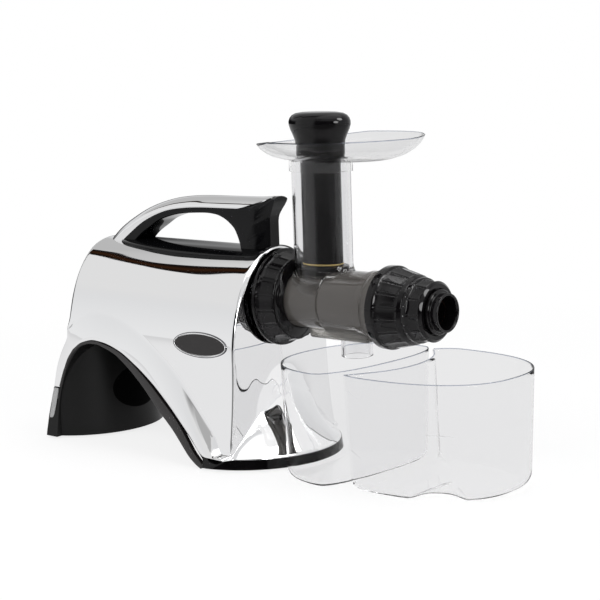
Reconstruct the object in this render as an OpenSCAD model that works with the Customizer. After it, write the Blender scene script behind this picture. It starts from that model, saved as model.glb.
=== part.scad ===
// Horizontal masticating juicer: mirror-finish housing on two feet, front drum, tray and two bins.
// X runs along the drive axis from the motor to the pulp nozzle, Z is up, and the user stands at -Y.
// The origin lies on the worktop under the drive axis, below the flat front face of the housing.

/* [Housing] */
// Length of the housing between its flat front and rear faces
body_len = 269; // [240:1:300]
// Height of the drive axis above the worktop
axis_h = 185; // [180:1:195]
// Height of the housing's crown
crown_h = 242; // [238:1:250]
// Half width of the housing at its waist
waist_half = 82.5; // [78:0.5:88]
// Height of the waist, where the round top meets the flared legs
waist_h = 120; // [110:1:126]
// How far each leg flares out below the waist
leg_flare = 11.5; // [8:0.5:14]
// Wall of the pressed housing
shell_wall = 2.5; // [1.5:0.1:3]
// Radius of the front foot's round plan
front_foot_r = 105; // [100:1:110]
// Radius of the rear foot's round inner wall
rear_foot_r = 97; // [90:1:102]
// How far the rear leg flares out behind the rear face
rear_flare = 34; // [26:1:40]
// Height of the black band along the bottom of the front foot
band_h = 13; // [10:1:16]
// Height of the black part of the rear leg
rear_foot_h = 62; // [50:1:70]
// Height of the side arch
arch_h = 126.5; // [118:0.5:132]
// Thickness of the black arch lining
liner_wall = 3.5; // [2.5:0.1:4.5]
// Thickness of the rubber pads
pad_h = 2; // [1.5:0.1:3]

/* [Handle] */
// Height of the grip's top above the worktop
grip_top_h = 297; // [290:1:304]
// Thickness of the grip from its top to the finger gap
grip_thick = 20; // [17:0.5:24]
// Width of the grip
grip_w = 35; // [30:1:40]
// Thickness of the bright cap strip
cap_strip_t = 1.6; // [1.2:0.1:2.5]
// Height of the bright strip's sides
cap_strip_high = 12; // [9:0.5:13]
// Half width of the rail under the handle
rail_half = 36; // [30:1:42]
// Thickness of the rail
rail_t = 5; // [4:0.5:7]

/* [Badge] */
// Length of the bare oval badge plate
badge_len = 79; // [60:1:90]
// Height of the badge plate
badge_high = 27; // [20:1:32]
// Width of its bright rim
badge_rim_w = 1.8; // [1.2:0.1:3]

/* [Drive] */
// Height of the motor's axis below the drive axis
motor_drop = 12.75; // [12.75:0.05:14]
// Side of the square motor stack
stack_side = 84; // [78:1:86]
// Length of the motor stack
stack_len = 50; // [40:1:56]
// Radius of the rotor
rotor_r = 25.8; // [22:0.1:27]
// Radius of the drive shaft
shaft_r = 8; // [7:0.1:8.5]
// Width across the flats of the shaft's hexagonal nose
hex_flats = 11; // [10:0.1:12]
// Teeth of the motor pinion
pinion_teeth = 10; // [10:1:12]
// Teeth of the middle wheel
mid_wheel_teeth = 42; // [40:1:42]
// Teeth of the middle pinion
mid_pinion_teeth = 12; // [12:1:13]
// Teeth of the output wheel
output_teeth = 50; // [48:1:50]
// Module of the first gear pair
first_module = 1; // [1:0.01:1.02]
// Module of the second gear pair
second_module = 1.25; // [1.25:0.01:1.28]
// Radius of the cooling fan
fan_r = 34; // [30:0.5:36]

/* [Hub and locking ring] */
// Radius of the hub that carries the drum
hub_r = 46; // [44:0.5:47]
// How far the hub stands out of the front face
hub_len = 12; // [10:0.5:13]
// Radius of the ring's thin rear flange
ring_flange_r = 55; // [53:0.5:57]
// Radius of the ring's ribbed band at the back
ring_back_r = 52; // [50:0.5:53]
// Radius of the ring's front edge
ring_front_r = 47; // [45:0.5:49]
// Where the ring ends, from the front face
ring_end_x = 29; // [27:0.5:29]
// Ribs round the locking ring
ring_ribs = 16; // [12:1:20]

/* [Drum] */
// Outside radius of the drum's narrow rear part
drum_rear_r = 32; // [31:0.5:33]
// Outside radius of the drum's wide middle part
drum_mid_r = 36; // [35.5:0.5:37]
// Wall of the drum
drum_wall = 3; // [2.4:0.1:3.4]
// Where the wide part starts, from the front face
drum_step_x = 81; // [78:1:84]
// Where the drum's front flange ends
drum_end_x = 156; // [152:1:160]
// Radius of the juice spout
spout_r = 17.5; // [15:0.5:18.5]
// Distance of the juice spout from the front face
spout_x = 110; // [106:1:114]
// Height of the juice spout's mouth above the worktop
spout_h = 128; // [127.5:0.5:132]
// Largest radius of the auger in the narrow part
auger_r = 28; // [26:0.5:28]

/* [End cap] */
// Radius of the cap's rear flange
cap_flange_r = 45.5; // [44:0.5:48]
// Radius of the cap's ribbed band at the back
cap_back_r = 44; // [43:0.5:45]
// Radius of the cap's front shoulder
cap_front_r = 37.5; // [36.5:0.5:39]
// Length of the cap from its flange to its shoulder
cap_len = 40; // [38:0.5:44]
// Ribs round the cap
cap_ribs = 20; // [14:1:24]
// Radius of the adjusting dial
dial_r = 35; // [33:0.5:36]
// Length of the adjusting dial
dial_len = 23; // [20:0.5:26]
// Outside radius of the nozzle's mouth
nozzle_r = 21; // [20:0.5:22]
// Bore radius of the nozzle's mouth
nozzle_bore_r = 17.3; // [15:0.1:18]
// How far the nozzle stands out of the dial
nozzle_out = 13; // [10:0.5:16]

/* [Feed chute and pusher] */
// Distance of the chute from the front face
chute_x = 66; // [66:0.5:68]
// Half length of the oval chute
chute_a = 36; // [33:0.5:36]
// Half width of the oval chute
chute_b = 25; // [23:0.5:26]
// Wall of the chute
chute_wall = 3; // [2:0.1:3.5]
// Height of the chute's top edge
chute_top = 341; // [330:1:345]
// Half length of the pusher's stem
stem_a = 24.5; // [22:0.5:27]
// Half width of the pusher's stem
stem_b = 18; // [16:0.5:19]
// Half length of the pusher's knob
knob_a = 38.5; // [36:0.5:42]
// Half width of the pusher's knob
knob_b = 26.5; // [25:0.5:29]
// Height of the knob above the chute's top edge
knob_out = 53; // [50:1:60]

/* [Tray] */
// How far the tray reaches from the chute towards the nozzle
tray_front = 123; // [115:1:135]
// How far it reaches towards the handle
tray_back = 66; // [60:1:80]
// Half width of the tray
tray_half = 96; // [85:1:100]
// Height of the tray's rim above its floor at the broad end
tray_deep = 25; // [22:1:30]
// How much lower the rim is at the narrow end
tray_drop = 7; // [4:0.5:9]
// Wall of the tray
tray_wall = 2.2; // [1.8:0.1:3]

/* [Bins] */
// Height of both bins
bin_h = 125; // [110:1:125]
// Wall of the bins
bin_wall = 2.4; // [1.8:0.1:3]
// Half width of the juice bin
juice_half = 94; // [88:1:98]
// Half width of the pulp bin
pulp_half = 92; // [86:1:96]
// Length of the pulp bin in front of its widest line
pulp_nose = 128; // [110:1:134]
// How far the bins' walls lean in from rim to floor
bin_draft = 4; // [2:0.5:6]

/* [Fits] */
// Gap between parts that lift off or slide
slip_gap = 0.3; // [0.2:0.05:0.4]
// Radial gap of a shaft in its bearing
run_gap = 0.05; // [0.02:0.01:0.1]

/* [Hidden] */

$fn = 96;
eps = 0.01;
reach = 400;                    // longer than the whole juicer, for cutters
curve_steps = 24;               // straight steps in a quarter of an outline

body_back = -body_len;
inner_back = body_back + shell_wall;
shell_bottom = band_h;
skirt_top = axis_h - ring_flange_r - 2;
front_foot_x = -48;
front_foot_apex = front_foot_x + front_foot_r;
rear_foot_x = body_back - 61;
rear_foot_end = body_back - rear_flare - 8;
foot_half = 103;                // half width of the front foot at the worktop
band_half = 93;                 // and at the top of its black band

arch_x = -222;                  // highest point of the side arch
arch_back = 66;
arch_front = 184;
arch_spring = 26.5;             // height where the arch's rear curve turns straight down
arch_foot_h = 9;

// ---- outlines of the housing ----

// Half width of the housing at height z, drawn in by inset
function bell_half(z, inset) = z > waist_h
    ? (waist_half - inset) * sqrt(max(0, 1 - pow((z - waist_h) / (crown_h - waist_h - inset), 2)))
    : waist_half - inset + leg_flare * pow((waist_h - z) / waist_h, 1.8);

// Right half of the housing's front outline, as [half width, height], from the worktop to the crown
function bell_side(inset) = concat(
    [for (i = [0 : 8]) let (z = waist_h * i / 8) [bell_half(z, inset), z]],
    [for (i = [1 : curve_steps]) let (a = 90 * i / curve_steps)
        [(waist_half - inset) * cos(a), waist_h + (crown_h - waist_h - inset) * sin(a)]]);

function mirrored(points) = concat(points,
    [for (i = [len(points) - 2 : -1 : 0]) [-points[i][0], points[i][1]]]);

// Side arch at [x, z], drawn in by inset
function arch_points(inset) = let (top = arch_h - inset, foot = arch_front - 1.5 * inset) concat(
    [[arch_x - arch_back + inset, -5], [arch_x - arch_back + inset, arch_spring]],
    [for (i = [1 : curve_steps]) let (a = 90 * i / curve_steps)
        [arch_x - (arch_back - inset) * cos(a), arch_spring + (top - arch_spring) * sin(a)]],
    [for (i = [1 : curve_steps]) let (t = i / curve_steps)
        [arch_x + foot * t, arch_foot_h + (top - arch_foot_h) * (1 - pow(t, 1.6))]],
    [[arch_x + foot + 7, -5]]);

// Side view of the rear leg and the straight part of the housing, at [x, z]
function side_points(inset) = let (back = body_back + inset, drop = rear_flare) [
    [-inset, 0], [-inset, crown_h + 9], [back, crown_h + 9], [back, 137],
    [back - 0.14 * drop, 117], [back - 0.38 * drop, 101], [back - 0.62 * drop, 80],
    [back - 0.80 * drop, 52], [back - 0.94 * drop, 28], [back - drop, 8], [back - drop, 0]];

// Oval with half axes a and b
function oval(a, b, steps = 64) = [for (i = [0 : steps - 1]) let (t = 360 * i / steps)
    [a * cos(t), b * sin(t)]];

function sgn_pow(v, p) = sign(v) * pow(abs(v), p);

// Rounded bin outline: half axes front and back along x, half width across, squareness n
function lens(front, back, half, n) = [for (i = [0 : 63]) let (t = 360 * i / 64, c = cos(t))
    [(c > 0 ? front : back) * sgn_pow(c, 2 / n), half * sgn_pow(sin(t), 2 / n)]];

// ---- shared forms ----

// Stands an outline of [y, z] up and runs it along X
module along_x(x0, x1) translate([x0, 0, 0]) rotate([90, 0, 90]) linear_extrude(x1 - x0) children();

// Runs an outline of [x, z] across Y
module along_y(y0, y1) translate([0, y1, 0]) rotate([90, 0, 0]) linear_extrude(y1 - y0) children();

// Brings a form made along Z onto the drive axis
module on_axis(h = axis_h) translate([0, 0, h]) rotate([0, 90, 0]) children();

// Turned part on the drive axis from its [radius, x] outline
module turned(points, h = axis_h) on_axis(h) rotate_extrude() polygon(points);

// Straight tube on the drive axis
module tube_x(r_out, r_in, x0, x1, h = axis_h) turned([[r_in, x0], [r_out, x0], [r_out, x1], [r_in, x1]], h);

// Straight rod along X through [y, z]
module rod_x(r, x0, x1, y = 0, z = axis_h) translate([x0, y, z]) rotate([0, 90, 0]) cylinder(r = r, h = x1 - x0);

module slab(x0, x1, y0, y1, z0, z1) translate([x0, y0, z0]) cube([x1 - x0, y1 - y0, z1 - z0]);

module bell_solid(inset, x0 = -reach, x1 = reach) along_x(x0, x1) polygon(mirrored(bell_side(inset)));

module arch_solid(inset) along_y(-reach / 2, reach / 2) polygon(arch_points(inset));

// Part of the front foot's round plan that lies between two side planes
module foot_plan(r, half) intersection() {
    translate([front_foot_x, 0]) circle(r);
    translate([front_foot_x - 30, -half]) square([r + 40, 2 * half]);
}

// Bulging skirt of the front face, from a straight line under the hub to the round foot
module front_skirt(inset) hull() {
    translate([0, 0, skirt_top - inset]) translate([-30, -54, 0]) cube([30 - inset, 108, 0.5]);
    translate([0, 0, shell_bottom]) linear_extrude(0.5) foot_plan(front_foot_r - 2 - inset, band_half - inset, $fn = 72);
}

// Whole solid of the housing, drawn in by inset
module housing_form(inset) intersection() {
    bell_solid(inset);
    union() {
        along_y(-reach / 2, reach / 2) polygon(side_points(inset));
        front_skirt(inset);
    }
}

// Thin layer on the housing's skin between two heights over it
module skin_layer(low, high) difference() {
    bell_solid(-high, body_back, 0);
    bell_solid(-low, body_back - 1, 1);
}

// ---- gears ----

function involute(rb, t) = [rb * (cos(t) + t * PI / 180 * sin(t)), rb * (sin(t) - t * PI / 180 * cos(t))];
function turn(p, a) = [p[0] * cos(a) - p[1] * sin(a), p[0] * sin(a) + p[1] * cos(a)];

// One tooth flank from the root to the tip, with the tooth's middle on the x axis
function flank(teeth, m, tip, side) = let (
        rp = teeth * m / 2, rb = rp * cos(20), root = rp - 1.25 * m, top = rp + tip * m,
        half = 90 / teeth - 0.10 * 180 / (PI * rp) + (tan(20) * 180 / PI - 20),
        end = sqrt(max(0, pow(top / rb, 2) - 1)) * 180 / PI,
        start = root > rb ? sqrt(pow(root / rb, 2) - 1) * 180 / PI : 0)
    [for (p = concat([turn([root, 0], -half)], [for (i = [0 : 4]) turn(involute(rb, start + (end - start) * i / 4), -half)]))
        [p[0], side * p[1]]];

module gear_outline(teeth, m, tip) polygon([for (i = [0 : teeth - 1]) for (p = concat(
        flank(teeth, m, tip, 1), [for (k = [5 : -1 : 0]) flank(teeth, m, tip, -1)[k]]))
    turn(p, 360 * i / teeth)]);

// Gear on an axis along X, turned by phase
module gear_x(teeth, m, tip, x0, x1, h, phase) translate([x0, 0, h]) rotate([0, 90, 0])
    rotate([0, 0, phase]) linear_extrude(x1 - x0) gear_outline(teeth, m, tip);

first_gap = (pinion_teeth + mid_wheel_teeth) * first_module / 2;
second_gap = (mid_pinion_teeth + output_teeth) * second_module / 2;
mid_h = axis_h - second_gap;
motor_h = mid_h + first_gap;

// ---- places along the drive axis ----

hub_back = -shell_wall - 4;
case_front = hub_back;
case_back = case_front - 42;
cover_back = case_back - 4;
case_wall = 3.5;
output_x0 = case_front - 24;
output_x1 = case_front - 9;
first_x0 = case_back + 2;
first_x1 = case_back + 11;
wheel_r = output_teeth * second_module / 2 + second_module;
mid_r = mid_wheel_teeth * first_module / 2 + first_module;
nose_r = 20;
bearing_r = 15;
rear_shaft_r = 5;
shaft_nose_x = hub_len - 7;
hex_end = shaft_nose_x + 30;
hex_r = hex_flats / 2 / cos(30);

stack_front = cover_back - 48;
stack_back = stack_front - stack_len;
bracket_front = stack_front + 18;
bracket_back = stack_back - 18;
motor_shaft_r = 3;
fan_x1 = bracket_back - 7;
fan_x0 = fan_x1 - 12;
bolt_off = stack_side / 2 - 6;
bolt_r = 2.5;

// ---- housing and feet ----

switch_h = 185;
switch_w = 21;
switch_high = 34;
gland_h = 152;
gland_r = 6.5;
vent_h = 217;
vent_w = 46;
vent_high = 16;

module housing_shell() color("gainsboro") difference() {
    housing_form(0);
    housing_form(shell_wall);
    slab(-reach, reach, -reach, reach, -reach, shell_bottom);
    slab(-reach, arch_x, -reach, reach, -reach, rear_foot_h);
    arch_solid(0);
    rod_x(hub_r, -20, 20);
    slab(body_back - 5, inner_back + 1, -switch_w / 2, switch_w / 2, switch_h - switch_high / 2, switch_h + switch_high / 2);
    rod_x(gland_r, body_back - 5, inner_back + 1, 0, gland_h);
    slab(body_back - 5, inner_back + 1, -vent_w / 2, vent_w / 2, vent_h - vent_high / 2, vent_h + vent_high / 2);
    for (x = handle_screw_x) translate([x, 0, 200]) cylinder(r = screw_r, h = 60);
}

module tunnel_liner() color("#17171a") difference() {
    intersection() {
        bell_solid(0);
        arch_solid(0);
        slab(-reach, 0, -reach, reach, pad_h, reach);
        along_y(-reach / 2, reach / 2) polygon(side_points(0));
    }
    arch_solid(liner_wall);
}

module front_foot() color("#17171a") difference() {
    hull() {
        translate([0, 0, band_h - 0.5]) linear_extrude(0.5) foot_plan(front_foot_r - 1.5, band_half, $fn = 72);
        translate([0, 0, pad_h]) linear_extrude(0.5) foot_plan(front_foot_r, foot_half, $fn = 72);
    }
    arch_solid(0);
    slab(-reach, arch_x + arch_front - 6, -reach, reach, -1, reach);
    difference() {
        translate([0, 0, pad_h + 3]) linear_extrude(band_h) offset(delta = -3.5) foot_plan(front_foot_r - 2, band_half, $fn = 72);
        slab(-reach, arch_x + arch_front + 10, -reach, reach, -1, reach);
        for (p = front_screws) translate([p[0], p[1], 0]) cylinder(r = 6, h = band_h);
    }
    for (p = front_screws) translate([p[0], p[1], 0]) screw_hole();
    pads();
}

// Black rear leg below the bright housing, with its round wall that faces the tunnel
module rear_foot() color("#17171a") difference() {
    union() {
        intersection() {
            housing_form(0);
            slab(-reach, arch_x - arch_back, -reach, reach, pad_h, rear_foot_h);
        }
        intersection() {
            translate([rear_foot_x, 0, pad_h]) cylinder(r = rear_foot_r, h = arch_h);
            arch_solid(liner_wall);
            bell_solid(0, arch_x - arch_back, reach);
        }
    }
    difference() {
        arch_solid(0);
        arch_solid(liner_wall);
    }
    difference() {
        union() {
            intersection() {
                housing_form(shell_wall);
                slab(-reach, arch_x - arch_back - 3, -reach, reach, pad_h + 3, reach);
            }
            translate([rear_foot_x, 0, pad_h + 3]) intersection() {
                cylinder(r = rear_foot_r - 3, h = arch_h);
                slab(arch_x - arch_back + liner_wall - rear_foot_x, reach, -76, 76, 0, arch_h);
            }
        }
        for (p = rear_screws) translate([p[0], p[1], 0]) cylinder(r = 6, h = 24);
    }
    for (p = rear_screws) translate([p[0], p[1], 0]) screw_hole();
    pads();
}

screw_r = 2;
screw_head_r = 4;
front_screws = [[28, -48], [28, 48], [-12, -62], [-12, 62]];
rear_screws = [[-294, -72], [-294, 72], [-262, -40], [-262, 40]];
handle_screw_x = [-236, -24];

module screw_hole() {
    translate([0, 0, pad_h - 1]) cylinder(r = screw_head_r, h = 3);
    cylinder(r = screw_r, h = 12);
}

module foot_screws() color("silver") for (p = concat(front_screws, rear_screws)) translate([p[0], p[1], pad_h + 0.2]) {
    cylinder(r = screw_head_r, h = 1.8);
    cylinder(r = screw_r, h = 9.6 - pad_h + 0.2);
}

// Two rubber strips, each let a little way into its foot
module pads() {
    slab(-8, 8, -60, 60, 0, pad_h + 1);
    slab(rear_foot_end + 10, rear_foot_end + 21, -60, 60, 0, pad_h + 1);
}

module rubber_pads() color("#2a2a2a") pads();

// ---- handle ----

grip_front_x = 6;
grip_post_x = -4;
grip_base = crown_h - 5;

// Height at share k of the way from the crown up to top
function risen(top, k) = crown_h + (top - crown_h) * k;

// Top line of the handle at [x, z], from its rear foot to its front tip
function grip_top() = let (h = grip_top_h) [[body_back + 7, grip_base], [-236, risen(h, 0.2)], [-201, risen(h, 0.6)],
    [-170, risen(h, 0.8)], [-141, risen(h, 0.91)], [-109, risen(h, 0.955)], [-63, risen(h, 0.973)],
    [-20, risen(h, 0.982)], [grip_front_x, h]];

// The same line lowered by drop
function lowered(points, drop) = [for (p = points) [p[0], p[1] - drop]];

// Finger gap under the grip
function finger_gap() = let (h = grip_top_h - grip_thick) [[-214, grip_base], [-190, risen(h, 0.34)],
    [-167, risen(h, 0.69)], [-140, risen(h, 0.9)], [-110, risen(h, 0.97)], [-88, risen(h, 0.985)],
    [-67, risen(h, 0.86)], [-50, risen(h, 0.57)], [-42, risen(h, 0.2)], [-40, grip_base]];

// Plan of the grip, narrowing from x -20 to the half width half at its front end
module grip_plan(front, half) polygon([[body_back, -grip_w / 2], [-20, -grip_w / 2], [front, -half], [front, half],
    [-20, grip_w / 2], [body_back, grip_w / 2]]);

// The grip and its front post before the finger gap is cut
module grip_block() intersection() {
    along_y(-grip_w / 2, grip_w / 2) polygon(concat(grip_top(),
        [[grip_front_x + 1.5, grip_top_h - 3], [grip_front_x - 1, grip_top_h - 9], [grip_post_x + 2, grip_top_h - grip_thick + 4],
         [grip_post_x, grip_top_h - grip_thick], [grip_post_x, crown_h], [grip_post_x - 4, crown_h - 12],
         [body_back + 7, crown_h - 12]]));
    union() {
        translate([0, 0, 200]) linear_extrude(grip_top_h - grip_thick - 2 - 200) grip_plan(grip_post_x + 1, 7.5);
        translate([0, 0, grip_top_h - grip_thick - 2]) linear_extrude(60) grip_plan(grip_front_x + 2, 11);
    }
}

module handle_body() color("#0f0f11") difference() {
    union() {
        difference() {
            grip_block();
            along_y(-reach / 2, reach / 2) polygon(concat(finger_gap(), [[-60, crown_h - 12], [-200, crown_h - 12]]));
        }
        intersection() {
            bell_solid(-rail_t, body_back + 10, -4);
            translate([0, 0, 200]) linear_extrude(100) hull() {
                translate([body_back + 40, 0]) circle(r = 18);
                translate([-150, -rail_half]) square([146, 2 * rail_half]);
            }
        }
    }
    bell_solid(0, -reach, reach);
    cap_strip();
    for (x = handle_screw_x) translate([x, 0, 200]) cylinder(r = screw_r, h = 52);
}

// Side view of the bright strip, from depth top under the grip's top down to depth low
function strip_outline(top, low) = concat([for (p = lowered(grip_top(), top)) if (p[0] < -20) p], [[-20, grip_top_h - 1 - top]],
    [[-24, grip_top_h - 2 - low * 0.55], [-36, grip_top_h - 1 - low * 0.85]],
    [for (i = [len(grip_top()) - 3 : -1 : 0]) lowered(grip_top(), low)[i]]);

// Bright strip over the grip's top and sides, from the rear foot nearly to the front tip
module cap_strip() difference() {
    along_y(-grip_w / 2 - 1, grip_w / 2 + 1) polygon(strip_outline(-1, cap_strip_high));
    along_y(-grip_w / 2 + cap_strip_t, grip_w / 2 - cap_strip_t) polygon(strip_outline(cap_strip_t, cap_strip_high + 1));
}

module handle_cap() color("gainsboro") difference() {
    intersection() {
        grip_block();
        cap_strip();
    }
    bell_solid(0, -reach, reach);
}

module handle_screws() color("silver") for (x = handle_screw_x) translate([x, 0, 0]) {
    translate([0, 0, crown_h - shell_wall - 2.4]) cylinder(r = screw_head_r, h = 2.4 - 0.3);
    translate([0, 0, crown_h - shell_wall - 1]) cylinder(r = screw_r, h = 10);
}

// ---- badge, vent and switch ----

badge_x = -50;
badge_h = 137;

module badge_column(grow) translate([badge_x, 0, badge_h]) along_y(-reach / 2, reach / 2)
    polygon(oval(badge_len / 2 + grow, badge_high / 2 + grow));

module badge_plates() color("#303034") intersection() {
    skin_layer(0, 1);
    badge_column(-badge_rim_w);
}

module badge_rims() color("silver") intersection() {
    skin_layer(0, 1.6);
    difference() {
        badge_column(0);
        badge_column(-badge_rim_w);
    }
}

module rear_vent() color("#17171a") difference() {
    union() {
        slab(body_back - 1.5, body_back, -vent_w / 2 - 2, vent_w / 2 + 2, vent_h - vent_high / 2 - 2, vent_h + vent_high / 2 + 2);
        slab(body_back, inner_back + 1, -vent_w / 2, vent_w / 2, vent_h - vent_high / 2, vent_h + vent_high / 2);
    }
    for (i = [-3 : 3]) slab(body_back - 5, inner_back + 5, i * 6 - 2, i * 6 + 2, vent_h - 6, vent_h + 6);
}

rocker_r = 13;
rocker_x = body_back + 4;

module switch_frame() color("#17171a") difference() {
    union() {
        slab(body_back - 2, body_back, -switch_w / 2 - 3, switch_w / 2 + 3, switch_h - switch_high / 2 - 3, switch_h + switch_high / 2 + 3);
        slab(body_back, body_back + 22, -switch_w / 2, switch_w / 2, switch_h - switch_high / 2, switch_h + switch_high / 2);
    }
    slab(body_back - 5, body_back + 19, -7.5, 7.5, switch_h - rocker_r - 0.6, switch_h + rocker_r + 0.6);
}

// Three-way rocker: on, off and reverse
module switch_rocker() color("#242428") union() {
    intersection() {
        translate([rocker_x, 7, switch_h]) rotate([90, 0, 0]) cylinder(r = rocker_r, h = 14);
        union() {
            along_y(-10, 10) polygon([[rocker_x + 2, switch_h - 20], [rocker_x - rocker_r, switch_h - 20], [rocker_x - 8, switch_h],
                [rocker_x - rocker_r, switch_h + 20], [rocker_x + 2, switch_h + 20]]);
        }
    }
    translate([rocker_x, 7.5 - run_gap, switch_h]) rotate([90, 0, 0]) cylinder(r = 2, h = 15 - 2 * run_gap);
}

module cord_gland() color("#17171a") difference() {
    union() {
        rod_x(gland_r + 3, body_back - 4, body_back, 0, gland_h);
        rod_x(gland_r, body_back - eps, inner_back + 9, 0, gland_h);
    }
    rod_x(4, body_back - 10, inner_back + 20, 0, gland_h);
}

board_z = arch_h + 9;

module control_board() color("darkgreen") difference() {
    union() {
        slab(body_back + 14, -208, -30, 30, board_z, board_z + 1.6);
        for (x = [-246, -216], y = [-24, 24]) translate([x, y, 100]) cylinder(r = 3, h = board_z - 100);
    }
    arch_solid(0);
}

module run_capacitor() color("ivory") translate([-231, 22, board_z + 1.6 + 13]) rotate([90, 0, 0]) cylinder(r = 13, h = 44);

// ---- gearbox ----

module case_outline(grow) hull() {
    translate([0, axis_h]) circle(wheel_r + 2 + grow);
    translate([0, mid_h]) circle(mid_r + 2 + grow);
}

module hub_collar() color("#5a5a60") union() {
    turned([[nose_r, hub_back], [hub_r + 6, hub_back], [hub_r + 6, -shell_wall], [hub_r, -shell_wall], [hub_r, hub_len],
        [gasket_r + slip_gap, hub_len], [gasket_r + slip_gap, hub_len - 5 - slip_gap], [nose_r, hub_len - 5 - slip_gap]]);
}

module hub_seal() color("#8a3b2e") tube_x(bearing_r, shaft_r + run_gap, shaft_nose_x - 3, shaft_nose_x - 0.5);

module front_bearing() color("silver") tube_x(bearing_r, shaft_r + run_gap, shaft_nose_x - 13, shaft_nose_x - 3);

module gearbox_case() color("#8d9094") difference() {
    union() {
        along_x(case_back, case_front) case_outline(case_wall);
        rod_x(nose_r, case_front - eps, shaft_nose_x);
        for (p = case_screws) rod_x(boss_r, case_back, case_back + 12, p[0], p[1]);
    }
    difference() {
        along_x(case_back - 1, case_front - case_wall) case_outline(0);
        rod_x(nose_r, case_front - case_wall - 2, case_front);
    }
    rod_x(bearing_r, shaft_nose_x - 13, shaft_nose_x + 5);
    rod_x(shaft_r + 1, case_back, shaft_nose_x);
    rod_x(axle_r, case_back, case_front - 1, 0, mid_h);
    for (p = case_screws) rod_x(1.5, case_back - 1, case_back + 8, p[0], p[1]);
}

case_screws = concat([for (s = [-1, 1]) [s * (wheel_r + 2 + case_wall) * sin(42.5), axis_h + (wheel_r + 2 + case_wall) * cos(42.5)]],
    [for (s = [-1, 1]) [s * (mid_r + 2 + case_wall) * sin(51), mid_h - (mid_r + 2 + case_wall) * cos(51)]]);
boss_r = 4;
axle_r = 4;

module gearbox_cover() color("#8d9094") difference() {
    union() {
        along_x(cover_back, case_back) case_outline(case_wall);
        slab(cover_back, case_back, -stack_side / 2, stack_side / 2, motor_h - stack_side / 2, motor_h + stack_side / 2);
        for (p = case_screws) rod_x(boss_r, cover_back, case_back, p[0], p[1]);
    }
    rod_x(bush_r, cover_back - 1, case_back + 1);
    rod_x(8, cover_back - 1, case_back + 1, 0, motor_h);
    rod_x(axle_r, cover_back + 1, case_back + 1, 0, mid_h);
    for (p = case_screws) rod_x(1.5, cover_back - 1, case_back + 1, p[0], p[1]);
    bolt_rods(bolt_r, cover_back - 1, case_back + 1);
}

module gearbox_screws() color("silver") for (p = case_screws) {
    rod_x(1.5, cover_back - 0.5, case_back + 7, p[0], p[1]);
    rod_x(3, cover_back - 2.5, cover_back, p[0], p[1]);
}

bush_r = 7.5;

module shaft_bush() color("#b5893c") tube_x(bush_r, rear_shaft_r + run_gap, cover_back, case_back);

module mid_axle() color("silver") rod_x(axle_r, cover_back + 1, case_front - 1, 0, mid_h);

module mid_gear() color("#c9c2ae") difference() {
    union() {
        gear_x(mid_wheel_teeth, first_module, 0.8, first_x0, first_x1, mid_h, 0);
        rod_x(mid_pinion_teeth * second_module / 2 - 1.25 * second_module, first_x1 - eps, output_x1, 0, mid_h);
        gear_x(mid_pinion_teeth, second_module, 0.8, first_x1 + 1.5, output_x1, mid_h, 0);
    }
    rod_x(axle_r + run_gap, first_x0 - 1, output_x1 + 1, 0, mid_h);
}

module output_gear() color("#c9c2ae") difference() {
    gear_x(output_teeth, second_module, 0.8, output_x0, output_x1, axis_h, 180 / output_teeth);
    rod_x(shaft_r, output_x0 - 1, output_x1 + 1);
    for (a = [0 : 60 : 300]) translate([output_x0 - 1, 0, axis_h]) rotate([a, 0, 0]) translate([0, 18, 0])
        rotate([0, 90, 0]) cylinder(r = 5, h = 40);
}

module drive_shaft() color("silver") union() {
    rod_x(rear_shaft_r, cover_back, output_x0 - 3);
    rod_x(shaft_r, output_x0 - 3 - eps, shaft_nose_x);
    rod_x(shaft_r + 1.6, output_x0 - 2.5, output_x0);
    on_axis() translate([0, 0, shaft_nose_x - eps]) cylinder(r = hex_r, h = hex_end - shaft_nose_x, $fn = 6);
}

// ---- motor ----

module bolt_rods(r, x0, x1) for (y = [-bolt_off, bolt_off], z = [-bolt_off, bolt_off]) rod_x(r, x0, x1, y, motor_h + z);

module motor_stack() color("#6b6e73") difference() {
    slab(stack_back, stack_front, -stack_side / 2, stack_side / 2, motor_h - stack_side / 2, motor_h + stack_side / 2);
    rod_x(rotor_r + 0.5, stack_back - 1, stack_front + 1, 0, motor_h);
    bolt_rods(bolt_r, stack_back - 1, stack_front + 1);
}

module motor_coils() color("#b0642c") for (x = [stack_back - 11, stack_front])
    tube_x(rotor_r + 9, rotor_r + 1, x, x + 11, motor_h);

// End plates of the motor, with windows round the bush
module motor_brackets() color("#8d9094") for (x = [bracket_front, bracket_back - 4]) difference() {
    slab(x, x + 4, -stack_side / 2, stack_side / 2, motor_h - stack_side / 2, motor_h + stack_side / 2);
    rod_x(bush_r, x - 1, x + 5, 0, motor_h);
    bolt_rods(bolt_r, x - 1, x + 5);
    for (a = [0 : 90 : 270]) translate([0, 0, motor_h]) rotate([a, 0, 0]) slab(x - 1, x + 5, -bush_r - 6, bush_r + 6, bush_r + 5, stack_side / 2 - 5);
}

module motor_bushes() color("#b5893c") for (x = [bracket_front, bracket_back - 4])
    tube_x(bush_r, motor_shaft_r + run_gap, x, x + 4, motor_h);

module tie_bolts() color("silver") {
    bolt_rods(bolt_r, bracket_back - 6, case_back);
    bolt_rods(4.5, bracket_back - 7, bracket_back - 4);
}

module motor_cradle() color("#2a2a2a") difference() {
    slab(stack_back + 8, stack_front - 8, -26, 26, 60, motor_h - stack_side / 2);
    arch_solid(0);
}

module motor_rotor() color("#85888c") tube_x(rotor_r, motor_shaft_r, stack_back, stack_front, motor_h);

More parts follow.
